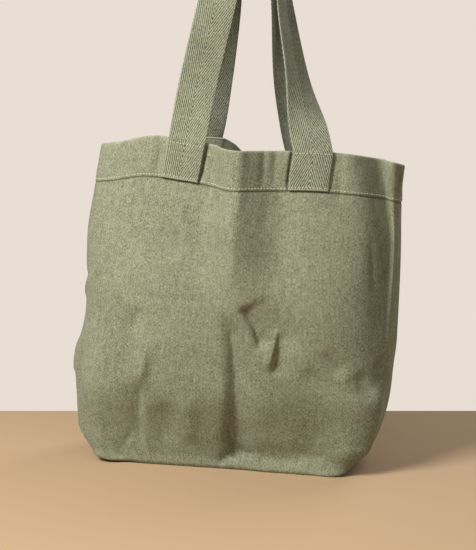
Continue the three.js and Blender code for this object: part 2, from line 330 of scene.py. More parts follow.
@dataclass(frozen=True)
class Spots:
    """Where a panel's vertices lie on the flat cloth, off its middle line and above its base edge."""

    across: np.ndarray
    level: np.ndarray

    @property
    def edge(self) -> np.ndarray:
        """Distance from the nearer side seam."""
        return SIZES.half_width - np.abs(self.across)

    @property
    def above_hem(self) -> np.ndarray:
        """Level above the hem's lower edge."""
        return self.level - SIZES.hem_start

    @property
    def on_seam(self) -> np.ndarray:
        """Whether each lies on a side seam."""
        return np.isclose(np.abs(self.across), SIZES.half_width)

    @property
    def on_wall(self) -> np.ndarray:
        """Whether each lies on the wall, and not on the base."""
        return self.level >= 0


@dataclass(frozen=True)
class NoiseLayer:
    """One size of the cloth's own unevenness: its height and the length of a swell.

    squeeze_across and squeeze_level shorten the swells in one direction, or lengthen them where they
    are below 1, and seed moves the pattern.
    """

    height: float
    size: float
    squeeze_across: float = 1.0
    squeeze_level: float = 1.0
    seed: float = 0.0

    def push(self, spots: Spots, panel_seed: float) -> np.ndarray:
        """Push of the layer at places on the cloth.

        Args:
            spots: the places.
            panel_seed: the panel's own seed, added to the layer's.

        Returns:
            The push at each place, outward and inward by up to about the height.
        """
        seed = panel_seed + self.seed
        xs = spots.across * self.squeeze_across / self.size
        ys = spots.level * self.squeeze_level / self.size
        return self.height * np.array([noise.noise(Vector((x, y, seed))) for x, y in zip(xs, ys)])


@dataclass(frozen=True)
class EdgeBand:
    """A soft band along an edge of the cloth, for its relief or for the tone of its dye.

    place is its distance from the edge, and strength is below 0 for a groove. A power of 2 gives a
    round section, and 1 a sharp line.
    """

    place: float
    width: float
    strength: float
    power: float = 2.0

    def at(self, distance: np.ndarray) -> np.ndarray:
        """Strength of the band at each distance from the edge."""
        return self.strength * np.exp(-((np.abs(distance - self.place) / self.width) ** self.power))


@dataclass(frozen=True)
class ClothRelief:
    """Small relief of the sewn cloth: its unevenness, the hem's step and puckers, and the seams.

    even_seam and even_base are the strips beside the side seams and above the base where the cloth
    lies even. The folds fade out over fold_seam_fade at the side seams and fold_base_fade on the base.
    hem_step holds the two levels, from the hem's lower edge, between which the hem rises by hem_rise.
    The cloth thickens over hem_turning to either side of the hem's edge. The puckers start under the
    hem over pucker_start and die out by pucker_length. The rim rolls in by rim_roll over its last
    rim_width.
    """

    uneven: tuple[NoiseLayer, ...] = (
        NoiseLayer(1.1, 66),
        NoiseLayer(0.32, 26, 1.4, 0.6, 7),
        NoiseLayer(0.1, 9, 1.2, 0.8, 13),
    )
    even_seam: float = 20.0
    even_base: tuple[float, float] = (4.0, 30.0)
    fold_seam_fade: float = 14.0
    fold_base_fade: float = 45.0
    pucker: NoiseLayer = NoiseLayer(0.8, 10, 1.0, 0.25, 21)
    pucker_start: float = 3.0
    pucker_length: float = 11.0
    hem_step: tuple[float, float] = (-0.6, 0.7)
    hem_rise: float = 0.6
    hem_wave: NoiseLayer = NoiseLayer(0.35, 11, 1.0, 0.3, 30)
    hem_turning: float = 0.5
    stitch_groove: EdgeBand = EdgeBand(2.2, 0.9, -0.35)
    under_hem: EdgeBand = EdgeBand(-1.0, 1.1, -0.5)
    rim_roll: float = 0.9
    rim_width: float = 1.3
    seam_groove: EdgeBand = EdgeBand(0.0, 2.4, -1.0)
    seam_wave: NoiseLayer = NoiseLayer(0.5, 6, seed=40)
    seam_turning: EdgeBand = EdgeBand(7.0, 4.0, 0.7)


@dataclass(frozen=True)
class WearAndShadeBands:
    """Washed-out dye on edges and seams, and painted shade under the hem, in the seams and by the straps.
    """

    rim: EdgeBand = EdgeBand(0.0, 1.6, 1.0, 1.0)
    hem: EdgeBand = EdgeBand(0.8, 1.0, 0.4, 1.0)
    seam: EdgeBand = EdgeBand(3.5, 2.5, 0.8, 1.0)
    foot: EdgeBand = EdgeBand(2.0, 4.0, 0.2)
    # painted shade: darker colour under the hem's edge, in the side seams and beside the straps' inner
    # edges
    shade_under_hem: EdgeBand = EdgeBand(-0.8, 0.8, 1.0)
    shade_in_seam: EdgeBand = EdgeBand(0.0, 1.4, 0.6)
    shade_by_strap: EdgeBand = EdgeBand(1.0, 1.3, 1.0)
    strap_fade: float = 1.0


RELIEF = ClothRelief()
WEAR_AND_SHADE = WearAndShadeBands()

FRONT_RIM = (
    RimPoint(-200, 351),
    RimPoint(-150, 355),
    RimPoint(-100, 362),
    RimPoint(-60, 357),
    RimPoint(8, 347.5),
    RimPoint(80, 347),
    RimPoint(150, 340),
    RimPoint(200, 331),
)
BACK_RIM = (
    RimPoint(-200, 350),
    RimPoint(-110, 357),
    RimPoint(-75, 359),
    RimPoint(-55, 357.5),
    RimPoint(-40, 351),
    RimPoint(-26, 341),
    RimPoint(10, 334),
    RimPoint(80, 341),
    RimPoint(200, 331),
)
RIDGE = MidFold(30, 22, 2, 30, 2)
SLUMP = MidFold(24, 34, 2, 42, 2)
TROUGH_FLANK = 15.0  # width of the left slope of the trough beside the right seam
TROUGH_SEAM_SHARE = 0.4  # width of its right slope, as a share of its gap to the seam

OPEN_TOP = (0.3, 0.0)
MID_VALLEY = ((19, 6), (16, 32), (16, 60), (18, 87), (18, 109), (15, 136), (9, 162), (-4, 194))
LEFT_PLEAT = ((-86, 10), (-84, 30), (-85, 58), (-78, 95), (-75, 109))

FRONT_FOLDS = (
    Fold("mid crest", ((10, 198), (12, 238), (12, 301), (6, 362)), 12, 6, 2.5, OPEN_TOP, 1.5),
    Fold("hollow left of the crest", ((-26, 198), (-30, 266), (-36, 362)), 12, 10, -2.5, OPEN_TOP),
    Fold("hollow right of the crest", ((54, 204), (56, 262), (54, 362)), 26, 18, -5, OPEN_TOP),
    Fold("overhang", ((-138, 4), (-60, 2), (0, 2), (90, 7), (146, 18)), 64, 18, -8, (0.1, 0.15)),
    Fold("low right corner", ((156, 12), (160, 60), (162, 116)), 36, 12, 7, (0.2, 0.3)),
    Fold("mid valley", MID_VALLEY, 6, 18, -9.5, (0.03, 0.22), 1.6),
    Fold("mid valley, foot", ((20, 6), (15, 32), (16, 62)), 9, 20, -4, (0.15, 0.5), 1.8),
    Fold("foot of the valley, left", ((0, 2), (9, 10), (18, 20)), 6, 3, -3),
    Fold("foot of the valley, right", ((44, 12), (32, 13), (20, 22)), 4, 5, -3),
    Fold("tuck over the toe", ((24, 18), (33, 14), (60, 12), (91, 14), (112, 22), (134, 33)), 16, 8, -3),
    Fold("toe roll", ((28, 4), (50, 5), (93, 6), (128, 6)), 8, 9, 3.5),
    Fold("short crease", ((43, 144), (40, 157), (34, 172), (21, 195)), 2.6, 16, -7, (0.2, 0.2), 1.4),
    Fold("slope under the middle", ((32, 158), (66, 164), (110, 172)), 22, 16, -2.5, (0.4, 0.5)),
    Fold("pinch ridge", ((52, 120), (55, 140), (57, 156), (59, 174)), 7, 2.2, 3, (0.25, 0.25), 1.5),
    Fold("pinch valley", ((57, 114), (58, 130), (59, 146), (61, 164)), 2.2, 13, -5, (0.3, 0.4), 1.5),
    Fold("light slope", ((100, 118), (82, 140), (65, 156)), 9, 7, 3),
    Fold("soft diagonal", ((130, 118), (118, 132), (104, 149)), 8, 5, -3, power=1.5),
    Fold("soft diagonal lip", ((144, 102), (132, 112), (119, 126)), 6, 7, 2),
    Fold("low diagonal", ((160, 92), (148, 108), (139, 126)), 9, 7, -3.5, power=1.6),
    Fold("low side valley", ((170, 104), (164, 122), (161, 140)), 4, 9, -3, power=1.5),
    Fold("side crease", ((158, 202), (153, 242), (148, 284)), 3.5, 4, -1.6, power=1.4),
    Fold("seam crease", ((189, 200), (190, 260), (190, 320), (187, 362)), 3, 3.5, -1.6, OPEN_TOP, 1.5),
    Fold("band crease by the right strap", ((113, 302), (113, 322), (108, 362)), 4, 5, -1.6, OPEN_TOP),
    Fold("band groove by the left strap", ((-28, 309), (-28, 323), (-34, 362)), 5, 7, -2.5, OPEN_TOP, 1.5),
    Fold("band streak", ((36, 318), (32, 362)), 4, 3, -1.2, OPEN_TOP),
    Fold("second band streak", ((48, 318), (44, 362)), 3, 3, -0.9, OPEN_TOP),
    Fold("band ridge by the left strap", ((-95, 314), (-96, 328), (-101, 362)), 4, 3, 1.8, OPEN_TOP, 1.5),
    Fold("band dip by the left strap", ((-89, 316), (-90, 330), (-93, 362)), 3, 3, -1.4, OPEN_TOP),
    Fold("left band dip", ((-138, 314), (-140, 334), (-142, 362)), 9, 9, -1.5, OPEN_TOP),
    Fold("left pleat, low", LEFT_PLEAT, 15, 4, -7, (0.3, 0.3), 1.5),
    Fold("left pleat, top", ((-78, 91), (-74, 117), (-71, 153)), 6, 4, 4, power=1.4),
    Fold("left of the pleat", ((-89, 92), (-92, 124), (-96, 158), (-93, 186)), 14, 9, -4),
    Fold("right of the pleat", ((-68, 70), (-68, 100), (-66, 128)), 4, 10, -2, power=1.4),
    Fold("soft low ridge", ((-26, 21), (-28, 64), (-30, 97)), 10, 8, 3),
    Fold("soft low hollow", ((-49, 18), (-54, 56), (-55, 84)), 12, 10, -3.5),
    Fold("left soft dip", ((-96, 150), (-92, 166), (-87, 184)), 8, 8, -1.6),
    Fold("left side valley", ((-170, 60), (-167, 92), (-162, 116), (-158, 148)), 4, 14, -6, power=1.4),
    Fold("left side flap", ((-184, 96), (-182, 118), (-173, 150)), 4, 4, 3, (0.12, 0.5)),
    Fold("left wrinkle", ((-194, 180), (-172, 198), (-152, 217)), 5, 4, 1.8),
    Fold("left wrinkle dip", ((-194, 196), (-180, 208), (-164, 222)), 6, 5, -2.2),
    Fold("corner crease", ((-115, 6), (-105, 20), (-92, 34)), 5, 3, -2.2, power=1.4),
    Fold("faint cross crease", ((-114, 192), (-53, 193), (-6, 196)), 4, 3, -0.8),
    Fold("broad left swell", ((-131, 60), (-123, 150)), 26, 22, 2.5),
    Fold("slit by the left strap", ((-42, 316), (-42, 362)), 1.3, 1.5, -3.6, OPEN_TOP),
    Fold("slit by the right strap", ((60, 316), (60, 362)), 1.5, 1.3, -4.4, OPEN_TOP),
    Fold("line by the right strap", ((104, 316), (104, 362)), 1.3, 1.5, -2.0, OPEN_TOP),
)
BACK_FOLDS = (
    Fold("mid crease", ((10, 60), (0, 180), (-6, 300)), 14, 12, -7),
    Fold("left drape", ((-90, 120), (-104, 220), (-120, 322)), 16, 12, 7, OPEN_TOP),
    Fold("right drape", ((130, 90), (122, 200), (110, 302)), 12, 16, -8),
    Fold("low roll", ((-80, 26), (0, 30), (90, 30)), 14, 12, -7),
    Fold("short crease", ((-62, 92), (-52, 124), (-38, 152)), 5, 9, -5),
    Fold("pinch ridge", ((58, 120), (62, 150), (60, 184)), 6, 4, 4),
    Fold("pinch valley", ((66, 118), (70, 150), (70, 180)), 4, 10, -5),
    Fold("corner crease", ((150, 20), (138, 50), (120, 84)), 6, 9, -5),
    Fold("seam drag", ((-184, 160), (-160, 200), (-140, 250)), 6, 9, -5),
    Fold("right side swell", ((188, 110), (190, 240), (190, 345)), 14, 8, 3.5, (0.2, 0.1)),
)

FRONT_LEFT_LEG = (
    LegPoint(-18, -54, 420, 12),
    LegPoint(-1, -42, 500, 8),
    LegPoint(14, -34, 565, -25),
)
FRONT_RIGHT_LEG = (
    LegPoint(85, -40, 420, 60),
    LegPoint(67, -20, 500, 76),
    LegPoint(61, -14, 565, 100),
)
BACK_LEFT_LEG = (
    LegPoint(-23, 34, 420, 206),
    LegPoint(-8, 23, 500, 224),
    LegPoint(2, 14, 565, 252),
)
BACK_RIGHT_LEG = (
    LegPoint(58, 33, 420, 142),
    LegPoint(51, 26, 500, 124),
    LegPoint(46, 27, 565, 118),
)


def table_value(keys: np.ndarray, values: np.ndarray, at: np.ndarray) -> np.ndarray:
    """Smooth monotone reading of a table.

    Args:
        keys: rising key of each row.
        values: value of each row.
        at: where the table is read.

    Returns:
        The value at each place.
    """
    slopes = np.diff(values) / np.diff(keys)
    tangents = np.zeros(len(keys))
    tangents[0] = slopes[0]
    tangents[-1] = slopes[-1]
    before, after = slopes[:-1], slopes[1:]
    same_way = before * after > 0
    total = np.where(same_way, before + after, 1.0)
    tangents[1:-1] = np.where(same_way, 2 * before * after / total, 0.0)
    at = np.clip(at, keys[0], keys[-1])
    i = np.clip(np.searchsorted(keys, at, side="right") - 1, 0, len(keys) - 2)
    span = keys[i + 1] - keys[i]
    u = (at - keys[i]) / span
    ease = u * u * (3 - 2 * u)
    bend = span * (u * (1 - u) ** 2 * tangents[i] - u * u * (1 - u) * tangents[i + 1])
    return values[i] * (1 - ease) + values[i + 1] * ease + bend


def smooth_step(low: float, high: float, value: np.ndarray) -> np.ndarray:
    """Eases from 0 at low to 1 at high."""
    u = np.clip((value - low) / (high - low), 0, 1)
    return u * u * (3 - 2 * u)


def fade_in(share: np.ndarray, length: float) -> np.ndarray:
    """Eases from 0 to 1 over a length, or is 1 all over where the length is 0."""
    return smooth_step(0, length, share) if length else np.ones_like(share)


def arc_length(line: np.ndarray) -> np.ndarray:
    """Distance walked from the first point of a line to each of its points."""
    steps = np.linalg.norm(np.diff(line, axis=0), axis=1)
    return np.concatenate([[0], np.cumsum(steps)])


def between(ends: np.ndarray, share: np.ndarray) -> np.ndarray:
    """Points at shares of the way from the first end to the second."""
    return ends[:1] * (1 - share) + ends[1:] * share


@dataclass(frozen=True)
class CornerLift:
    """How far the cloth's spring holds the base's front left corner clear of the floor."""

    x: float = -150.0
    y: float = -66.0
    reach: float = 85.0
    height: float = 4.0
    fade: float = 70.0

    def rise(self, points: np.ndarray) -> np.ndarray:
        """Height added at each point."""
        away = np.hypot(points[:, 0] - self.x, points[:, 1] - self.y) / self.reach
        return self.height * np.maximum(0, 1 - away**2) ** 2 * np.maximum(0, 1 - points[:, 2] / self.fade)


class PanelForm:
    """Where the flat cloth of one panel stands in the bag, before its creases."""

    plan_points = 1201

    def __init__(self, side: Side, rim: tuple[RimPoint, ...], mid_fold: MidFold) -> None:
        """Keeps the tables that shape this panel.

        Args:
            side: which panel.
            rim: heights along its rim.
            mid_fold: plan shape of the fold between its handle ends.
        """
        self.side = side
        self.mid_fold = mid_fold
        self.rim_keys = np.array([point.across for point in rim], float)
        self.rim_heights = np.array([point.height for point in rim], float)
        self.levels = np.array([section.level for section in SECTIONS], float)

    def section(self, level: float) -> Section:
        """The bag's section at any level.

        Args:
            level: distance above the base edge on the cloth.

        Returns:
            A section with each column read smoothly from the table.
        """
        values = {}
        for column in fields(Section):
            rows = np.array([getattr(section, column.name) for section in SECTIONS], float)
            values[column.name] = float(table_value(self.levels, rows, np.array([level]))[0])
        return Section(**values)

    def wall_row(self, level: float, across: np.ndarray) -> np.ndarray:
        """Places of one level of the wall.

        Args:
            level: distance above the base edge on the cloth.
            across: distances from the panel's middle line.

        Returns:
            An array of points.
        """
        here = self.section(level)
        left, right = here.left, here.right
        angle = np.linspace(0, math.pi, self.plan_points)
        cosine = np.cos(angle)
        power = 2 / np.where(cosine > 0, here.square_left, here.square_right)
        x = (left + right) / 2 - (right - left) / 2 * np.sign(cosine) * np.abs(cosine) ** power
        seam = here.seam_left + (here.seam_right - here.seam_left) * (x - left) / (right - left)
        reach = here.front if self.side is Side.FRONT else here.back
        depth = reach * np.maximum(np.sin(angle), 0) ** power + self.plan_push(x, here)
        y = seam + self.side.value * depth
        length = arc_length(np.stack([x, y], axis=1))
        target = (across / SIZES.panel_width + 0.5) * length[-1]
        seam_gap = np.isclose(np.abs(across), SIZES.half_width) * SIZES.piece_gap / 2
        place_x = np.interp(target, length, x)
        place_y = np.interp(target, length, y) + seam_gap * self.side.value
        height = level / SIZES.wall_height * table_value(self.rim_keys, self.rim_heights, across)
        return np.stack([place_x, place_y, height], axis=1)

    def plan_push(self, x: np.ndarray, here: Section) -> np.ndarray:
        """Push of the panel's mid fold, and of the front's trough beside the right seam.

        Args:
            x: plan places along the panel.
            here: the section at their level.

        Returns:
            The outward push at each place.
        """
        if self.side is Side.BACK:
            return here.slump * self.mid_fold.share(x)
        away = x - (here.right - here.trough_gap)
        flank = np.where(away < 0, TROUGH_FLANK, TROUGH_SEAM_SHARE * here.trough_gap)
        return here.ridge * self.mid_fold.share(x) - here.trough * np.exp(-((away / flank) ** 2))

    def base_row(self, depth: float, across: np.ndarray) -> np.ndarray:
        """Places of one row of the half base, filled between its four edges.

        Args:
            depth: distance in from the base's long edge.
            across: distances from the panel's middle line, within the base's length.

        Returns:
            An array of points.
        """
        ends = np.array([-1.0, 1.0])
        u = (across / SIZES.half_length / 2 + 0.5)[:, None]
        v = depth / SIZES.half_base
        long_edge = self.wall_row(0, across)
        seam = between(self.wall_row(0, ends * SIZES.half_width), u)
        sides = between(self.wall_row(0, ends * (SIZES.half_length + depth)), u)
        corners = between(self.wall_row(0, ends * SIZES.half_length), u)
        return long_edge * (1 - v) + seam * v + sides - (corners * (1 - v) + seam * v)


class Surface:
    """A finished cloth or webbing face, read by its place across and along the flat piece."""

    probe = 2.0

    def __init__(self, across: np.ndarray, along: np.ndarray, points: np.ndarray, side: Side) -> None:
        """Keeps the face's grid.

        Args:
            across: column places.
            along: row places.
            points: rows by columns by 3.
            side: the panel that it belongs to, which says where outward is.
        """
        self.across = across
        self.along = along
        self.points = points
        self.side = side

    def at(self, across: float, along: float) -> Vector:
        """The point at a place on the flat piece.

        Args:
            across: place across the piece.
            along: place along the piece.

        Returns:
            The point, read between the four nearest of the grid.
        """
        i = int(np.clip(np.searchsorted(self.across, across) - 1, 0, len(self.across) - 2))
        j = int(np.clip(np.searchsorted(self.along, along) - 1, 0, len(self.along) - 2))
        u = (across - self.across[i]) / (self.across[i + 1] - self.across[i])
        v = (along - self.along[j]) / (self.along[j + 1] - self.along[j])
        low, high = self.points[j : j + 2, i] * (1 - u) + self.points[j : j + 2, i + 1] * u
        return Vector(low * (1 - v) + high * v)

    def frame_at(self, across: float, along: float) -> tuple[Vector, Vector, Vector, Vector]:
        """The point at a place and its directions, from the points a little to either side.

        Args:
            across: place across the piece.
            along: place along the piece.

        Returns:
            The point, the direction across, the direction along and the outward normal.
        """
        right = (self.at(across + self.probe, along) - self.at(across - self.probe, along)).normalized()
        up = (self.at(across, along + self.probe) - self.at(across, along - self.probe)).normalized()
        outward = right.cross(up).normalized() * -self.side.value
        return self.at(across, along), right, up, outward


def flat_grid(columns: int, rows: int) -> tuple[bmesh.types.BMesh, np.ndarray, np.ndarray]:
    """Makes a flat grid for a cloth or a webbing.

    Args:
        columns: cells across it.
        rows: cells along it.

    Returns:
        The mesh, and the column and the row number of each vertex.
    """
    bm = bmesh.new()
    bmesh.ops.create_grid(bm, x_segments=columns, y_segments=rows, size=0.5)
    flat = np.array([vert.co[:2] for vert in bm.verts]) + 0.5
    return bm, np.rint(flat[:, 0] * columns).astype(int), np.rint(flat[:, 1] * rows).astype(int)


def place_verts(bm: bmesh.types.BMesh, points: np.ndarray) -> None:
    """Moves each vertex to its point."""
    for vert, point in zip(bm.verts, points):
        vert.co = point


def vertex_normals(bm: bmesh.types.BMesh) -> np.ndarray:
    """Normal of the mesh at each vertex."""
    bm.normal_update()
    return np.array([vert.normal[:] for vert in bm.verts])


def write_uv(bm: bmesh.types.BMesh, name: str) -> None:
    """Keeps the flat place of each vertex, in metres, as a UV map for the finish to read.

    Args:
        bm: the mesh while it is still flat.
        name: the UV map's name.
    """
    layer = bm.loops.layers.uv.new(name)
    for face in bm.faces:
        for loop in face.loops:
            loop[layer].uv = (loop.vert.co.x * MM, loop.vert.co.y * MM)


def write_values(bm: bmesh.types.BMesh, name: str, values: np.ndarray) -> None:
    """Keeps a value for each vertex for the finish to read.

    Args:
        bm: the mesh.
        name: the attribute's name.
        values: the value of each vertex.
    """
    layer = bm.verts.layers.float.new(name)
    for vert, value in zip(bm.verts, values):
        vert[layer] = value


def mesh_object(name: str, bm: bmesh.types.BMesh, material: bpy.types.Material) -> bpy.types.Object:
    """Turns a bmesh in bag millimetres into an object at the origin, in metres.

    Args:
        name: the piece's name.
        bm: the mesh, freed here.
        material: its finish.

    Returns:
        The new object.
    """
    bmesh.ops.translate(bm, verts=bm.verts, vec=SIZES.origin_shift)
    bmesh.ops.scale(bm, verts=bm.verts, vec=(MM, MM, MM))
    mesh = bpy.data.meshes.new(name)
    bm.to_mesh(mesh)
    bm.free()
    mesh.polygons.foreach_set("use_smooth", [True] * len(mesh.polygons))
    mesh.materials.append(material)
    obj = bpy.data.objects.new(name, mesh)
    bpy.context.scene.collection.objects.link(obj)
    return obj


def thicken(obj: bpy.types.Object, thickness: float, offset: float, weights: list[float]) -> None:
    """Gives a skin its thickness with a live Solidify, thinner where the weights say so.

    Args:
        obj: the skin.
        thickness: full thickness in millimetres.
        offset: -1 grows inward, 0 both ways.
        weights: share of the thickness at each vertex.
    """
    group = obj.vertex_groups.new(name="thickness")
    for index, weight in enumerate(weights):
        group.add([index], weight, "REPLACE")
    solid = obj.modifiers.new("thickness", "SOLIDIFY")
    solid.thickness = thickness * MM
    solid.offset = offset
    solid.vertex_group = group.name
    solid.use_rim = True


class ClothPanel:
    """One panel: wall, hem, gusset halves and half base, cut as one piece of linen."""

    def __init__(
        self,
        name: str,
        form: PanelForm,
        folds: tuple[Fold, ...],
        ends: tuple[float, float],
        seed: float,
    ) -> None:
        """Keeps what shapes this panel.

        Args:
            name: the piece's name.
            form: where the flat cloth stands.
            folds: its creases and swells.
            ends: across of its handle's two ends.
            seed: moves its small unevenness.
        """
        self.name = name
        self.form = form
        self.folds = folds
        self.ends = ends
        self.seed = seed
        self.across = self.column_places()
        self.levels = self.row_levels()
        self.base_rows = int(SIZES.half_base / GRID.cell)
        self.surface: Surface | None = None

    def column_places(self) -> np.ndarray:
        """Columns of the cloth: even at the sides, closer in the middle and beside the straps.

        Returns:
            Their distances from the panel's middle line, from left to right.
        """
        fine_low, fine_high = GRID.fine_across
        columns = np.array([-SIZES.half_width])
        for low, high, cell in (
            (-SIZES.half_width, -SIZES.half_length, GRID.cell),
            (-SIZES.half_length, fine_low, GRID.coarse_cell),
            (fine_low, fine_high, GRID.fine_cell),
            (fine_high, SIZES.half_length, GRID.coarse_cell),
            (SIZES.half_length, SIZES.half_width, GRID.cell),
        ):
            columns = np.append(columns, np.linspace(low, high, round((high - low) / cell) + 1)[1:])
        for edge in self.inner_edges():
            columns = np.append(columns, edge + np.array(GRID.strap_columns))
        return np.unique(columns)

    def inner_edges(self) -> tuple[float, float]:
        """Across of the two edges of the webbing that face each other."""
        return self.ends[0] + SIZES.web_width / 2, self.ends[1] - SIZES.web_width / 2

    def row_levels(self) -> np.ndarray:
        """Rows of the wall, close together at the base roll, the hem's edge and the rim.

        Returns:
            Their levels, from the base edge up.
        """
        start, rim = SIZES.hem_start, SIZES.wall_height
        body = np.arange(GRID.body_start, start + GRID.hem_rows[0], GRID.cell)
        hem_body = np.arange(start + GRID.hem_body_start, rim - GRID.hem_body_end, GRID.cell)
        hem_rows = start + np.array(GRID.hem_rows)
        rim_rows = rim + np.array(GRID.rim_rows)
        return np.concatenate([GRID.roll_rows, body, hem_rows, hem_body, rim_rows])

    def cut(self) -> tuple[bmesh.types.BMesh, Spots]:
        """Cuts the flat cloth as a grid without its base corners and closes the corner seams.

        Returns:
            The mesh, and where its vertices lie on the flat cloth.
        """
        depths = -np.arange(self.base_rows, 0, -1) * GRID.cell
        heights = np.concatenate([depths, self.levels])
        bm, column, row = flat_grid(len(self.across) - 1, len(heights) - 1)
        place_verts(bm, np.stack([self.across[column], heights[row], np.zeros(len(row))], axis=1))
        write_uv(bm, "cloth")
        verts = dict(zip(zip(column, row), bm.verts))
        corners = []
        for face in bm.faces:
            middle = face.calc_center_median()
            if middle.y < 0 and abs(middle.x) > SIZES.half_length:
                corners.append(face)
        bmesh.ops.delete(bm, geom=corners, context="FACES")
        first = self.base_rows
        last = len(self.across) - 1 - first
        welds = {}
        for k in range(1, self.base_rows + 1):
            depth_row = self.base_rows - k
            welds[verts[(first, depth_row)]] = verts[(first - k, self.base_rows)]
            welds[verts[(last, depth_row)]] = verts[(last + k, self.base_rows)]
        bmesh.ops.weld_verts(bm, targetmap=welds)
        bm.verts.index_update()
        flat = np.array([vert.co[:2] for vert in bm.verts])
        return bm, Spots(flat[:, 0], flat[:, 1])

    def stand(self, spots: Spots) -> np.ndarray:
        """Stands the flat cloth up on the panel's form.

        Args:
            spots: where the vertices lie on the flat cloth.

        Returns:
            Their points.
        """
        points = np.zeros((len(spots.level), 3))
        for level in np.unique(spots.level):
            row = spots.level == level
            if level >= 0:
                points[row] = self.form.wall_row(level, spots.across[row])
            else:
                points[row] = self.form.base_row(-level, spots.across[row])
        return points

    def fold_push(self, spots: Spots) -> np.ndarray:
        """Push of the named creases, faded at the side seams and inwards on the base.

        Args:
            spots: where the vertices lie on the flat cloth.

        Returns:
            The outward push at each vertex.
        """
        push = sum(fold.push(spots.across, np.maximum(spots.level, 0)) for fold in self.folds)
        seam_fade = smooth_step(0, RELIEF.fold_seam_fade, spots.edge)
        return push * seam_fade * smooth_step(-RELIEF.fold_base_fade, 0, spots.level)

    def small_push(self, spots: Spots) -> np.ndarray:
        """Push of seams, puckers and the cloth's own unevenness.

        Args:
            spots: where the vertices lie on the flat cloth.

        Returns:
            The outward push at each vertex.
        """
        edge, above = spots.edge, spots.above_hem
        uneven = sum(layer.push(spots, self.seed) for layer in RELIEF.uneven)
        push = uneven * smooth_step(0, RELIEF.even_seam, edge)
        push *= smooth_step(*RELIEF.even_base, spots.level)
        pucker = RELIEF.pucker.push(spots, self.seed) * smooth_step(0, RELIEF.pucker_start, -above)
        push += pucker * np.exp(np.minimum(above, 0) / RELIEF.pucker_length)
        hem_rise = RELIEF.hem_rise + RELIEF.hem_wave.push(spots, self.seed)
        push += hem_rise * smooth_step(*RELIEF.hem_step, above)
        push += (RELIEF.stitch_groove.at(above) + RELIEF.under_hem.at(above)) * spots.on_wall
        above_rim = spots.level - SIZES.wall_height
        push -= RELIEF.rim_roll * smooth_step(-RELIEF.rim_width, 0, above_rim)
        seam_groove = RELIEF.seam_groove.at(edge) * (1 + RELIEF.seam_wave.push(spots, self.seed))
        return push + (seam_groove + RELIEF.seam_turning.at(edge)) * spots.on_wall

    def outward(self, bm: bmesh.types.BMesh, spots: Spots) -> np.ndarray:
        """Direction in which each vertex is pushed, level at the foot and on the base.

        Args:
            bm: the panel's mesh as it stands.
            spots: where its vertices lie on the flat cloth.

        Returns:
            The directions.
        """
        normals = -self.form.side.value * vertex_normals(bm)
        normals[spots.on_seam, 1] = 0
        foot = spots.level == 0
        normals[foot, 2] = 0
        normals[foot] /= np.linalg.norm(normals[foot], axis=1)[:, None]
        normals[~spots.on_wall] = (0, self.form.side.value, 0)
        return normals

    def build(self, material: bpy.types.Material) -> bpy.types.Object:
        """Makes the panel's object.

        Args:
            material: its finish.

        Returns:
            The new object.
        """
        bm, spots = self.cut()
        points = self.stand(spots)
        for push in (self.fold_push(spots), self.small_push(spots)):
            place_verts(bm, points)
            points = points + self.outward(bm, spots) * push[:, None]
        points[:, 2] = np.maximum(points[:, 2], 0)
        points[:, 2] += CornerLift().rise(points)
        place_verts(bm, points)
        if self.form.side is Side.BACK:
            bmesh.ops.reverse_faces(bm, faces=bm.faces)
        self.keep_surface(spots, points)
        self.paint_wear_and_shade(bm, spots)
        hem = smooth_step(-RELIEF.hem_turning, RELIEF.hem_turning, spots.above_hem)
        weights = (SIZES.cloth + (SIZES.hem_cloth - SIZES.cloth) * hem) / SIZES.hem_cloth
        obj = mesh_object(self.name, bm, material)
        thicken(obj, SIZES.hem_cloth, -1, list(weights))
        return obj

    def keep_surface(self, spots: Spots, points: np.ndarray) -> None:
        """Keeps the wall's grid, so that webbing and stitches can lie on it.

        Args:
            spots: where the vertices lie on the flat cloth.
            points: the finished place of each vertex.
        """
        grid = np.zeros((len(self.levels), len(self.across), 3))
        rows = np.searchsorted((self.levels[1:] + self.levels[:-1]) / 2, spots.level)
        columns = np.searchsorted((self.across[1:] + self.across[:-1]) / 2, spots.across)
        wall = spots.on_wall
        grid[rows[wall], columns[wall]] = points[wall]
        self.surface = Surface(self.across, self.levels, grid, self.form.side)

    def paint_wear_and_shade(self, bm: bmesh.types.BMesh, spots: Spots) -> None:
        """Writes where the dye is washed out on edges and seams, and painted shade by the hem, seams and
        straps.

        Args:
            bm: the panel's mesh.
            spots: where its vertices lie on the flat cloth.
        """
        edge, above = spots.edge, spots.above_hem
        wear = WEAR_AND_SHADE.rim.at(SIZES.wall_height - spots.level) + WEAR_AND_SHADE.hem.at(above) * (above > 0)
        wear += WEAR_AND_SHADE.seam.at(edge) * spots.on_wall + WEAR_AND_SHADE.foot.at(spots.level)
        # painted shade, kept as 'depth': darker colour beside the straps' inner edges, under the hem's
        # edge and in the side seams
        left_edge, right_edge = self.inner_edges()
        by_left = WEAR_AND_SHADE.shade_by_strap.at(spots.across - left_edge)
        by_right = WEAR_AND_SHADE.shade_by_strap.at(right_edge - spots.across)
        by_strap = np.maximum(by_left, by_right) * smooth_step(-WEAR_AND_SHADE.strap_fade, WEAR_AND_SHADE.strap_fade, above)
        depth = WEAR_AND_SHADE.shade_under_hem.at(above) + WEAR_AND_SHADE.shade_in_seam.at(edge) * spots.on_wall + by_strap
        write_values(bm, "wear", np.clip(wear, 0, 1))
        write_values(bm, "depth", np.clip(depth, 0, 1))


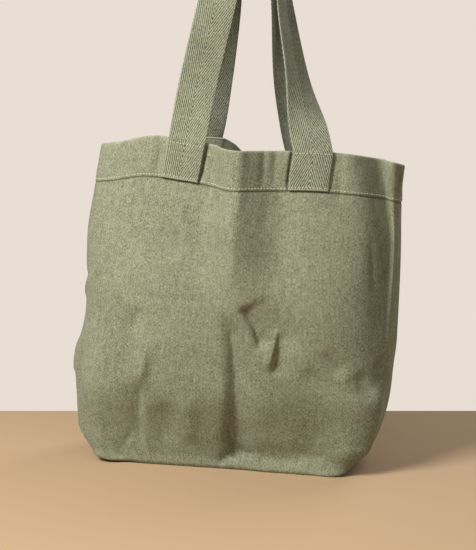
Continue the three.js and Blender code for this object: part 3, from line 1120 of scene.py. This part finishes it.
class WebbingHandle:
    """A length of herringbone webbing: two ends sewn on the hem and a loop between them."""

    def __init__(
        self,
        name: str,
        panel: ClothPanel,
        left_leg: tuple[LegPoint, ...],
        right_leg: tuple[LegPoint, ...],
    ) -> None:
        """Keeps the handle's course.

        Args:
            name: the piece's name.
            panel: the panel that carries it.
            left_leg: places of its left leg from the rim up.
            right_leg: places of its right leg from the rim up.
        """
        self.name = name
        self.panel = panel
        self.left_leg = left_leg
        self.right_leg = right_leg
        self.sign = panel.form.side.value
        self.across = (np.arange(WEBBING.columns + 1) / WEBBING.columns - 0.5) * SIZES.web_width
        self.length = 0.0
        self.sewn_length = 0.0
        self.surface: Surface | None = None

    def sewn_row(self, middle: float, level: float) -> tuple[np.ndarray, Vector, Vector]:
        """Cross row of a sewn end, whose inner edge stands a little off the cloth.

        Args:
            middle: across of the webbing's middle line.
            level: level of the row.

        Returns:
            Its points from left to right, its middle point and its outward direction.
        """
        surface = self.panel.surface
        half = SIZES.web_width / 2
        flat = half - WEBBING.edge_margin
        lift = SIZES.piece_gap + SIZES.web_thickness / 2
        inward = -math.copysign(1, middle)
        points = []
        for aside in self.across:
            under = max(-flat, min(flat, aside))
            spot, right, _, outward = surface.frame_at(middle + under, level)
            off = WEBBING.stand_off * max(0.0, aside * inward / half) ** 2
            points.append(spot + right * (aside - under) + outward * (lift + off))
        spot, _, _, outward = surface.frame_at(middle, level)
        return np.array(points), spot + outward * lift, outward

    def rim_rows(self) -> list[tuple[np.ndarray, Vector, Vector]]:
        """The last sewn row below the rim at the left end and at the right end."""
        level = SIZES.wall_height - WEBBING.rim_gap
        return [self.sewn_row(end, level) for end in self.panel.ends]

    def turn_over(self) -> list[tuple[Vector, Vector]]:
        """Course of the half turn at the top.

        Returns:
            Its key places and their outward directions, from left to right.
        """
        yaw = SIZES.loop_yaw
        ahead = Vector((math.cos(yaw), math.sin(yaw), 0))
        width = Vector((-math.sin(yaw), math.cos(yaw), 0))
        centre = Vector(SIZES.loop_centre) + width * (self.sign * SIZES.loop_offset)
        keys = []
        for step in range(WEBBING.turn_steps + 1):
            angle = math.pi * (1 - step / WEBBING.turn_steps)
            outward = ahead * math.cos(angle) + Vector((0, 0, math.sin(angle)))
            keys.append((centre + outward * SIZES.loop_radius, outward))
        return keys

    def free_course(self) -> list[tuple[Vector, Vector]]:
        """Course of the free part.

        Returns:
            Its key places and their outward directions, from the left rim to the right rim.
        """
        (_, *rim_left), (_, *rim_right) = self.rim_rows()
        left = [(point.place(), point.facing()) for point in self.left_leg]
        right = [(point.place(), point.facing()) for point in reversed(self.right_leg)]
        return [rim_left, *left, *self.turn_over(), *right, rim_right]

    @staticmethod
    def spline(keys: Sequence[Vector]) -> np.ndarray:
        """Smooth curve through the keys.

        Args:
            keys: the places it passes.

        Returns:
            Its points.
        """
        points = np.array([key[:] for key in keys])
        first = 2 * points[0] - points[1]
        final = 2 * points[-1] - points[-2]
        padded = np.concatenate([[first], points, [final]])
        u = np.linspace(0, 1, WEBBING.span_steps, endpoint=False)[:, None]
        spans = []
        for i in range(1, len(padded) - 2):
            a, b, c, d = padded[i - 1 : i + 3]
            bend = (2 * a - 5 * b + 4 * c - d) * u**2 + (3 * b - a - 3 * c + d) * u**3
            spans.append(0.5 * (2 * b + (c - a) * u + bend))
        spans.append(points[-1:])
        return np.concatenate(spans)

    def free_rows(self) -> np.ndarray:
        """Cross rows of the free part, eased onto the sewn ends at the rim.

        Returns:
            The points, as rows by columns by 3.
        """
        places, facings = zip(*self.free_course())
        line = self.spline(places)
        face = self.spline(facings)
        tangent = np.gradient(line, axis=0)
        tangent /= np.linalg.norm(tangent, axis=1)[:, None]
        sideways = np.cross(face, tangent)
        sideways /= np.linalg.norm(sideways, axis=1)[:, None]
        free = line[:, None, :] + sideways[:, None, :] * self.sign * self.across[None, :, None]
        length = arc_length(line)
        (rim_left, *_), (rim_right, *_) = self.rim_rows()
        near_left = np.maximum(0, 1 - length / WEBBING.rim_ease)[:, None, None] ** 2
        near_right = np.maximum(0, 1 - (length[-1] - length) / WEBBING.rim_ease)[:, None, None] ** 2
        return free + near_left * (rim_left - free[0]) + near_right * (rim_right[::-1] - free[-1])

    def rows(self) -> np.ndarray:
        """All cross rows, evenly spaced along the webbing.

        Returns:
            The points, as rows by columns by 3.
        """
        left_end, right_end = self.panel.ends
        start = SIZES.hem_start + WEBBING.hem_gap
        levels = np.arange(start, SIZES.wall_height - WEBBING.rim_gap, WEBBING.sewn_step)
        left = np.array([self.sewn_row(left_end, level)[0] for level in levels])
        right = np.array([self.sewn_row(right_end, level)[0][::-1] for level in levels[::-1]])
        rows = np.concatenate([left, self.free_rows(), right])
        along = arc_length(rows[:, WEBBING.columns // 2])
        self.length = float(along[-1])
        self.sewn_length = float(along[len(left)])
        count = round(self.length * WEBBING.rib_steps / WEBBING.rib_length)
        even = np.linspace(0, self.length, count + 1)
        flat = rows.reshape(len(rows), -1)
        result = np.stack([np.interp(even, along, flat[:, k]) for k in range(flat.shape[1])], axis=1)
        return result.reshape(count + 1, WEBBING.columns + 1, 3)

    def relief(self, column: np.ndarray, row: np.ndarray) -> np.ndarray:
        """Height of the woven ribs, which meet in a V at the spine, and of the selvedges.

        Args:
            column: column number of each vertex.
            row: row number of each vertex.

        Returns:
            The height at each vertex.
        """
        step = (row - np.abs(column - WEBBING.spine_column)) % WEBBING.rib_steps
        ribs = np.choose(step, WEBBING.rib_profile)
        selvedge = WEBBING.selvedge_height + WEBBING.selvedge_ripple * (row % 2)
        edge = np.minimum(column, WEBBING.columns - column)
        return np.where(edge < WEBBING.selvedge_columns, selvedge, ribs)

    def build(self, material: bpy.types.Material) -> bpy.types.Object:
        """Makes the handle's object.

        Args:
            material: its finish.

        Returns:
            The new object.
        """
        rows = self.rows()
        count = len(rows) - 1
        lengths = np.arange(count + 1) * self.length / count
        bm, column, row = flat_grid(WEBBING.columns, count)
        across = self.across[column]
        place_verts(bm, np.stack([across, lengths[row], np.zeros(len(row))], axis=1))
        write_uv(bm, "webbing")
        place_verts(bm, rows[row, column])
        if self.panel.form.side is Side.BACK:
            bmesh.ops.reverse_faces(bm, faces=bm.faces)
        raised = vertex_normals(bm) * self.relief(column, row)[:, None]
        place_verts(bm, rows[row, column] + raised)
        write_values(bm, "wear", np.exp(-np.minimum(row, count - row) / WEBBING.worn_rows))
        self.surface = Surface(self.across, lengths, rows, self.panel.form.side)
        edge = SIZES.web_width / 2 - np.abs(across)
        thin = WEBBING.edge_thickness
        weights = thin + (1 - thin) * smooth_step(0, WEBBING.edge_round, edge)
        obj = mesh_object(self.name, bm, material)
        thicken(obj, SIZES.web_thickness, 0, list(weights))
        return obj


@dataclass(frozen=True)
class StitchRow:
    """A straight row of stitches on a face, from one place to another, raised by its lift."""

    surface: Surface
    start: tuple[float, float]
    end: tuple[float, float]
    lift: float

    def stitches(self) -> list[tuple[Vector, Vector, Vector]]:
        """Where each stitch of the row lies.

        Returns:
            The middle, the lengthwise direction and the outward direction of each.
        """
        (x0, y0), (x1, y1) = self.start, self.end
        count = max(1, int(math.hypot(x1 - x0, y1 - y0) / STITCH.pitch))
        places = []
        for k in range(count):
            u = (k + 0.5) / count
            spot, right, up, outward = self.surface.frame_at(x0 + (x1 - x0) * u, y0 + (y1 - y0) * u)
            lengthwise = (right * (x1 - x0) + up * (y1 - y0)).normalized()
            places.append((spot + outward * self.lift, lengthwise, outward))
        return places


class Sewing:
    """Rows of stitches joined in one mesh, each a short rounded bead of thread."""

    def __init__(self, name: str, rows: list[StitchRow]) -> None:
        """Keeps where the rows run.

        Args:
            name: the piece's name.
            rows: the rows.
        """
        self.name = name
        self.rows = rows

    def build(self, material: bpy.types.Material) -> bpy.types.Object:
        """Makes the stitches' object.

        Args:
            material: its finish.

        Returns:
            The new object.
        """
        bm = bmesh.new()
        for row in self.rows:
            for middle, lengthwise, outward in row.stitches():
                sideways = outward.cross(lengthwise).normalized()
                bead = bmesh.ops.create_uvsphere(
                    bm, u_segments=STITCH.segments, v_segments=STITCH.rings, radius=0.5
                )
                for vert in bead["verts"]:
                    x, y, z = vert.co
                    along = lengthwise * (x * STITCH.length)
                    vert.co = middle + along + (sideways * y + outward * z) * STITCH.thread
        bmesh.ops.recalc_face_normals(bm, faces=bm.faces)
        return mesh_object(self.name, bm, material)


@dataclass(frozen=True)
class Gloss:
    """How a finish takes the light."""

    roughness: float
    sheen: float = 0.0
    specular: float = 0.5


class NodeBoard:
    """Short calls to lay out a material's nodes."""

    weave_contrast = 1.6
    bump_strength = 0.5

    def __init__(self, name: str) -> None:
        """Makes a material with only its output and main shader.

        Args:
            name: the material's name.
        """
        self.material = bpy.data.materials.new(name)
        self.material.use_nodes = True
        self.tree = self.material.node_tree
        self.shader = self.tree.nodes["Principled BSDF"]

    def add(self, kind: str, settings: dict | None = None, **inputs: object) -> bpy.types.Node:
        """Adds a node.

        Args:
            kind: the node's type.
            settings: its properties.
            inputs: values or sockets for its inputs, by name or by n and number.

        Returns:
            The new node.
        """
        node = self.tree.nodes.new(kind)
        for key, value in (settings or {}).items():
            setattr(node, key, value)
        for key, value in inputs.items():
            slot = int(key[1:]) if key[0] == "n" and key[1:].isdigit() else key
            self.plug(value, node.inputs[slot])
        return node

    def plug(self, value: object, socket: bpy.types.NodeSocket) -> None:
        """Links a value to an input, or sets it there where it is a constant.

        Args:
            value: a socket or a constant.
            socket: the input.
        """
        if isinstance(value, bpy.types.NodeSocket):
            self.tree.links.new(value, socket)
        else:
            socket.default_value = value

    def uv(self, name: str) -> tuple[bpy.types.NodeSocket, ...]:
        """Reads a UV map.

        Args:
            name: the UV map's name.

        Returns:
            The place, and its distance across and along.
        """
        place = self.add("ShaderNodeUVMap", {"uv_map": name}).outputs[0]
        parts = self.add("ShaderNodeSeparateXYZ", Vector=place).outputs
        return place, parts[0], parts[1]

    def attribute(self, name: str) -> bpy.types.NodeSocket:
        """Reads a value that the mesh keeps at its vertices."""
        return self.add("ShaderNodeAttribute", {"attribute_name": name}).outputs["Fac"]

    def math(self, operation: str, first: object, second: object = 0.0) -> bpy.types.NodeSocket:
        """Adds a Math node and gives its output."""
        return self.add("ShaderNodeMath", {"operation": operation}, n0=first, n1=second).outputs[0]

    def clamp(self, value: object) -> bpy.types.NodeSocket:
        """Keeps a value from 0 to 1."""
        return self.add("ShaderNodeClamp", Value=value).outputs[0]

    def sum(self, *terms: tuple[object, float]) -> bpy.types.NodeSocket:
        """Adds up values, each times its weight.

        Args:
            terms: pairs of a socket or a constant and its weight, the first with a socket.

        Returns:
            The sum.
        """
        total = None
        for value, weight in terms:
            if isinstance(value, bpy.types.NodeSocket):
                part = self.math("MULTIPLY", value, weight)
            else:
                part = value * weight
            total = part if total is None else self.math("ADD", total, part)
        return total

    def around_half(self, *patterns: tuple[object, float]) -> bpy.types.NodeSocket:
        """Adds up patterns that lie around a half, so that their sum does too.

        Args:
            patterns: pairs of a pattern and its weight.

        Returns:
            The sum.
        """
        spare = 1 - sum(weight for _, weight in patterns)
        return self.sum(*patterns, (0.5, spare))

    def blend(self, share: bpy.types.NodeSocket, low: object, high: object) -> bpy.types.NodeSocket:
        """Mixes two colours.

        Args:
            share: share of the second colour.
            low: the first colour.
            high: the second colour.

        Returns:
            The mixed colour.
        """
        node = self.add("ShaderNodeMix", {"data_type": "RGBA"}, Factor=share, n6=low, n7=high)
        return node.outputs[2]

    def weave(self, across: object, along: object, yarn: float) -> bpy.types.NodeSocket:
        """Pattern of a plain weave.

        Args:
            across: place across the cloth.
            along: place along the cloth.
            yarn: width of a yarn.

        Returns:
            The share of the weft on top, 0 or 1 with soft steps between.
        """
        waves = []
        for place in (across, along):
            waves.append(self.math("SINE", self.math("MULTIPLY", place, math.pi / yarn)))
        both = self.math("MULTIPLY", *waves)
        return self.clamp(self.sum((both, self.weave_contrast), (0.5, 1.0)))

    def noise(self, vector: object, scale: float = 1.0, detail: float = 1.0) -> bpy.types.NodeSocket:
        """Adds a Noise texture and gives its value."""
        return self.add("ShaderNodeTexNoise", Vector=vector, Scale=scale, Detail=detail).outputs[0]

    def streaks(self, x: object, y: object, scales: tuple[float, float]) -> bpy.types.NodeSocket:
        """Noise of two coordinates, each with its own scale.

        Args:
            x: the first coordinate.
            y: the second coordinate.
            scales: how many swells each has in a metre.

        Returns:
            The noise.
        """
        place = self.add(
            "ShaderNodeCombineXYZ",
            X=self.math("MULTIPLY", x, scales[0]),
            Y=self.math("MULTIPLY", y, scales[1]),
        )
        return self.noise(place.outputs[0])

    def emboss(self, height: bpy.types.NodeSocket, depth: float) -> None:
        """Gives the shader a bump.

        Args:
            height: the pattern of its height.
            depth: its depth in millimetres.
        """
        distance = depth * MM
        bump = self.add("ShaderNodeBump", Strength=self.bump_strength, Distance=distance, Height=height)
        self.plug(bump.outputs[0], self.shader.inputs["Normal"])

    def finish(self, colour: bpy.types.NodeSocket, gloss: Gloss) -> bpy.types.Material:
        """Gives the shader its colour and gloss.

        Args:
            colour: the finished colour.
            gloss: how it takes the light.

        Returns:
            The finished material.
        """
        self.plug(colour, self.shader.inputs["Base Color"])
        self.shader.inputs["Roughness"].default_value = gloss.roughness
        self.shader.inputs["Sheen Weight"].default_value = gloss.sheen
        self.shader.inputs["Specular IOR Level"].default_value = gloss.specular
        return self.material


def linear(red: int, green: int, blue: int) -> tuple[float, float, float, float]:
    """Turns a display colour into linear light.

    Args:
        red: display value from 0 to 255.
        green: display value from 0 to 255.
        blue: display value from 0 to 255.

    Returns:
        The three channels in linear light, and an alpha of 1.
    """
    values = [channel / 255 for channel in (red, green, blue)]
    light = [v / 12.92 if v <= 0.04045 else ((v + 0.055) / 1.055) ** 2.4 for v in values]
    return (*light, 1.0)


@dataclass(frozen=True)
class LinenFinish:
    """Washed sage linen: a plain weave of uneven yarns, mottled dye, paler at worn edges,
    and painted shade under the hem, in the seams and by the straps.

    A scale counts the swells in a metre, and a tone says how far a pattern moves the colour.
    """

    dark: tuple[int, int, int] = (78, 82, 62)
    light: tuple[int, int, int] = (149, 153, 129)
    worn: tuple[int, int, int] = (160, 164, 138)
    painted_shade: tuple[int, int, int] = (48, 51, 35)
    yarn: float = 1.05
    warp_scales: tuple[float, float] = (1500.0, 400.0)
    weft_scales: tuple[float, float] = (400.0, 1500.0)
    slub_scales: tuple[float, float] = (600.0, 40.0)
    mottle_scale: float = 150.0
    dye_scale: float = 16.0
    warp_share: float = 0.55
    yarn_tone: float = 3.0
    slub_tone: float = 0.5
    mottle_tone: float = 0.55
    dye_tone: float = 0.4
    weave_tone: float = 0.16
    wear_tone: float = 0.45
    wear_mottle: float = 0.7
    painted_shade_tone: float = 0.7
    weave_height: float = 0.25
    depth: float = 0.45
    gloss: Gloss = Gloss(0.94, sheen=0.08, specular=0.2)

    def build(self) -> bpy.types.Material:
        """Makes the material.

        Returns:
            The new material.
        """
        board = NodeBoard("linen")
        place, across, level = board.uv("cloth")
        warp = board.streaks(across, level, self.warp_scales)
        weft = board.streaks(across, level, self.weft_scales)
        yarns = board.sum((warp, self.warp_share), (weft, 1 - self.warp_share))
        over = board.weave(across, level, self.yarn * MM)
        slub = board.streaks(across, level, self.slub_scales)
        mottle = board.noise(place, self.mottle_scale, detail=3.0)
        dye = board.noise(place, self.dye_scale, detail=2.0)
        tone = board.around_half(
            (yarns, self.yarn_tone),
            (slub, self.slub_tone),
            (mottle, self.mottle_tone),
            (dye, self.dye_tone),
            (over, self.weave_tone),
        )
        colour = board.blend(board.clamp(tone), linear(*self.dark), linear(*self.light))
        patchy = board.sum((mottle, self.wear_mottle), (self.wear_tone - self.wear_mottle / 2, 1.0))
        worn = board.math("MULTIPLY", board.attribute("wear"), patchy)
        colour = board.blend(worn, colour, linear(*self.worn))
        # painted shade: the 'depth' attribute darkens the colour under the hem, in the seams and beside
        # the straps
        painted_shade = board.math("MULTIPLY", board.attribute("depth"), self.painted_shade_tone)
        colour = board.blend(painted_shade, colour, linear(*self.painted_shade))
        board.emboss(board.sum((yarns, 1.0), (over, self.weave_height)), self.depth)
        return board.finish(colour, self.gloss)


@dataclass(frozen=True)
class WebbingFinish:
    """Herringbone webbing with uneven yarns; painted light makes its rib crests pale and painted shade
    makes its grooves darker.

    The yarn's scales count swells in a rib, the others in a metre. A tone says how far a pattern moves
    the colour, and a height how much it adds to the relief.
    """

    dark: tuple[int, int, int] = (40, 44, 32)
    light: tuple[int, int, int] = (147, 151, 127)
    worn: tuple[int, int, int] = (160, 163, 142)
    yarn_scales: tuple[float, float] = (2.2, 0.9)
    fleck_scale: float = 800.0
    patch_scale: float = 40.0
    rib_light_and_shade_tone: float = 0.34
    yarn_tone: float = 1.1
    fleck_tone: float = 0.9
    patch_tone: float = 0.4
    end_tone: float = 0.75
    selvedge_tone: float = 0.3
    crest_height: float = 0.4
    fleck_height: float = 0.8
    depth: float = 0.4
    gloss: Gloss = Gloss(0.92, sheen=0.08, specular=0.2)

    def build(self) -> bpy.types.Material:
        """Makes the material.

        Returns:
            The new material.
        """
        board = NodeBoard("webbing")
        place, across, along = board.uv("webbing")
        column = SIZES.web_width / WEBBING.columns
        spine = (WEBBING.spine_column * column - SIZES.web_width / 2) * MM
        away = board.math("ABSOLUTE", board.math("SUBTRACT", across, spine))
        ribs_along = board.math("DIVIDE", along, WEBBING.rib_length * MM)
        ribs_across = board.math("DIVIDE", away, WEBBING.rib_steps * column * MM)
        phase = board.math("SUBTRACT", ribs_along, ribs_across)
        run = board.math("ADD", ribs_along, ribs_across)
        crest = board.math("COSINE", board.math("MULTIPLY", phase, 2 * math.pi))
        yarn = board.streaks(phase, run, self.yarn_scales)
        fleck = board.noise(place, self.fleck_scale)
        patch = board.noise(place, self.patch_scale, detail=2.0)
        uneven = board.around_half(
            (yarn, self.yarn_tone),
            (fleck, self.fleck_tone),
            (patch, self.patch_tone),
        )
        # the rib pattern paints light on the crests and shade in the grooves
        tone = board.clamp(board.sum((crest, self.rib_light_and_shade_tone), (uneven, 1.0)))
        colour = board.blend(tone, linear(*self.dark), linear(*self.light))
        selvedge_start = (SIZES.web_width / 2 - WEBBING.selvedge_width) * MM
        selvedge = board.math("GREATER_THAN", board.math("ABSOLUTE", across), selvedge_start)
        pale = board.sum((board.attribute("wear"), self.end_tone), (selvedge, self.selvedge_tone))
        colour = board.blend(pale, colour, linear(*self.worn))
        height = board.sum((crest, self.crest_height), (yarn, 1.0), (fleck, self.fleck_height))
        board.emboss(height, self.depth)
        return board.finish(colour, self.gloss)


@dataclass(frozen=True)
class ThreadFinish:
    """Sewing thread, a little paler than the cloth."""

    dark: tuple[int, int, int] = (168, 170, 144)
    light: tuple[int, int, int] = (214, 213, 190)
    scale: float = 900.0
    gloss: Gloss = Gloss(0.7)

    def build(self) -> bpy.types.Material:
        """Makes the material.

        Returns:
            The new material.
        """
        board = NodeBoard("thread")
        place = board.add("ShaderNodeTexCoord").outputs["Object"]
        tone = board.noise(place, self.scale, detail=2.0)
        return board.finish(board.blend(tone, linear(*self.dark), linear(*self.light)), self.gloss)


@dataclass(frozen=True)
class StageFinish:
    """Plain pale surface under the bag."""

    colour: tuple[int, int, int] = (173, 147, 115)
    darker: float = 0.8
    scale: float = 220.0
    mottle: float = 0.12
    gloss: Gloss = Gloss(0.8)

    def build(self) -> bpy.types.Material:
        """Makes the material.

        Returns:
            The new material.
        """
        board = NodeBoard("pale_table")
        place = board.add("ShaderNodeTexCoord").outputs["Object"]
        share = board.math("MULTIPLY", board.noise(place, self.scale, detail=3.0), self.mottle)
        tone = linear(*self.colour)
        darker = (*(channel * self.darker for channel in tone[:3]), 1.0)
        return board.finish(board.blend(share, tone, darker), self.gloss)


@dataclass(frozen=True)
class Lamp:
    """A soft square light: where it stands and points in millimetres, its side, watts and tint."""

    name: str
    place: tuple[float, float, float]
    aim: tuple[float, float, float]
    side: float
    power: float
    tint: tuple[float, float, float]

    def build(self) -> None:
        """Adds the light."""
        data = bpy.data.lights.new(self.name, "AREA")
        data.energy = self.power
        data.size = self.side * MM
        data.color = self.tint
        lamp = bpy.data.objects.new(self.name, data)
        lamp.location = Vector(self.place) * MM
        lamp.rotation_euler = (Vector(self.aim) - Vector(self.place)).to_track_quat("-Z", "Y").to_euler()
        bpy.context.scene.collection.objects.link(lamp)


@dataclass(frozen=True)
class Studio:
    """Camera, table top, backdrop tone and soft lights."""

    camera_place: tuple[float, float, float] = (322.0, -1334.0, 388.0)
    camera_yaw: float = 13.1
    camera_pitch: float = 7.5
    focal_pixels: float = 1250.0
    picture_height: float = 550.0
    sensor: float = 36.0
    clip_start: float = 50.0
    table_back: float = 219.0
    table_front: float = 1500.0
    table_half_width: float = 2200.0
    backdrop: tuple[int, int, int] = (233, 222, 212)
    room_fill: float = 0.3
    lamps: tuple[Lamp, ...] = (
        Lamp("key", (-600, -1000, 1150), (0, 0, 200), 520, 36.0, (1.0, 0.97, 0.95)),
        Lamp("front right fill", (500, -950, 900), (0, 0, 200), 900, 2.4, (1.0, 0.98, 0.96)),
        Lamp("back fill", (700, 900, 1000), (0, 0, 200), 900, 8.0, (1.0, 0.98, 0.96)),
    )

    def camera(self) -> None:
        """Sets the camera at the viewing angle of the photograph."""
        data = bpy.data.cameras.new("camera")
        data.lens = self.focal_pixels / self.picture_height * self.sensor
        data.sensor_width = self.sensor
        data.clip_start = self.clip_start * MM
        camera = bpy.data.objects.new("camera", data)
        place = Vector(self.camera_place) + Vector(SIZES.origin_shift)
        camera.location = place * MM
        camera.rotation_euler = (math.radians(90 - self.camera_pitch), 0, math.radians(self.camera_yaw))
        bpy.context.scene.collection.objects.link(camera)
        bpy.context.scene.camera = camera

    def table(self) -> bpy.types.Object:
        """Lays the pale table top under the bag, its far edge square to the view.

        Returns:
            The new object.
        """
        bm = bmesh.new()
        bmesh.ops.create_grid(bm, x_segments=1, y_segments=1, size=0.5)
        yaw = math.radians(self.camera_yaw)
        right = Vector((math.cos(yaw), math.sin(yaw), 0))
        away = Vector((-math.sin(yaw), math.cos(yaw), 0))
        depth = self.table_back + self.table_front
        for vert in bm.verts:
            sideways = right * (vert.co.x * 2 * self.table_half_width)
            vert.co = sideways + away * ((vert.co.y + 0.5) * depth - self.table_front)
        obj = mesh_object("table_top", bm, StageFinish().build())
        return obj

    def world(self) -> None:
        """Gives the backdrop its pale tone and the room a dimmer fill."""
        world = bpy.data.worlds.new("backdrop")
        world.use_nodes = True
        tree = world.node_tree
        background = tree.nodes["Background"]
        background.inputs["Color"].default_value = linear(*self.backdrop)
        seen = tree.nodes.new("ShaderNodeLightPath").outputs["Is Camera Ray"]
        strength = tree.nodes.new("ShaderNodeMapRange")
        strength.inputs["To Min"].default_value = self.room_fill
        tree.links.new(seen, strength.inputs["Value"])
        tree.links.new(strength.outputs["Result"], background.inputs["Strength"])
        bpy.context.scene.world = world
        bpy.context.scene.view_settings.view_transform = "Standard"

    def build(self) -> None:
        """Sets up the whole studio."""
        self.camera()
        self.table()
        self.world()
        for lamp in self.lamps:
            lamp.build()


class ToteBag:
    """The whole bag: two panels, two handles and their sewing."""

    def __init__(self) -> None:
        """Sets up the sub-assemblies."""
        front_form = PanelForm(Side.FRONT, FRONT_RIM, RIDGE)
        back_form = PanelForm(Side.BACK, BACK_RIM, SLUMP)
        self.front = ClothPanel("front_cloth", front_form, FRONT_FOLDS, SIZES.front_ends, seed=3.0)
        self.back = ClothPanel("back_cloth", back_form, BACK_FOLDS, SIZES.back_ends, seed=51.0)

    @staticmethod
    def sewing_rows(panel: ClothPanel, handle: WebbingHandle) -> list[StitchRow]:
        """Stitch rows of one panel and its handle.

        Args:
            panel: the panel.
            handle: its handle.

        Returns:
            The rows along the hem's lower edge, at the webbing's ends and across it at the rim.
        """
        hem = SIZES.hem_start + STITCH.hem_inset
        side = SIZES.half_width - STITCH.seam_gap
        left_end, right_end = panel.ends
        outer = SIZES.web_width / 2 + STITCH.strap_gap
        inner = SIZES.web_width / 2 + STITCH.inner_gap
        rows = []
        for start, end in (
            (-side, left_end - outer),
            (left_end + inner, right_end - inner),
            (right_end + outer, side),
        ):
            rows.append(StitchRow(panel.surface, (start, hem), (end, hem), STITCH.lift))
        reach = SIZES.web_width / 2 - STITCH.web_gap
        lift = SIZES.web_thickness / 2 + STITCH.lift
        sewn = handle.sewn_length - STITCH.web_end
        for place in (STITCH.web_end, sewn, handle.length - sewn, handle.length - STITCH.web_end):
            rows.append(StitchRow(handle.surface, (-reach, place), (reach, place), lift))
        return rows

    def build(self) -> None:
        """Builds every piece, parents it to the root body and reports it."""
        linen = LinenFinish().build()
        webbing = WebbingFinish().build()
        thread = ThreadFinish().build()
        for panel, node, legs in (
            (self.front, "front", (FRONT_LEFT_LEG, FRONT_RIGHT_LEG)),
            (self.back, "back", (BACK_LEFT_LEG, BACK_RIGHT_LEG)),
        ):
            cloth = panel.build(linen)
            handle_maker = WebbingHandle(f"{node}_webbing", panel, *legs)
            handle = handle_maker.build(webbing)
            sewing = Sewing(f"{node}_sewing", self.sewing_rows(panel, handle_maker)).build(thread)
            for piece, slot in ((cloth, "linen"), (handle, "webbing"), (sewing, "linen")):
                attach(piece, "root")
                LOG.info("%s: %d faces", piece.name, len(piece.data.polygons))
            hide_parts(f"{node}_panel")
            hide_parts(f"handle_{node}")


def main() -> None:
    """Builds the studio and the bag."""
    logging.basicConfig(level=logging.INFO)
    Studio().build()
    ToteBag().build()


if __name__ == "__main__":
    main()
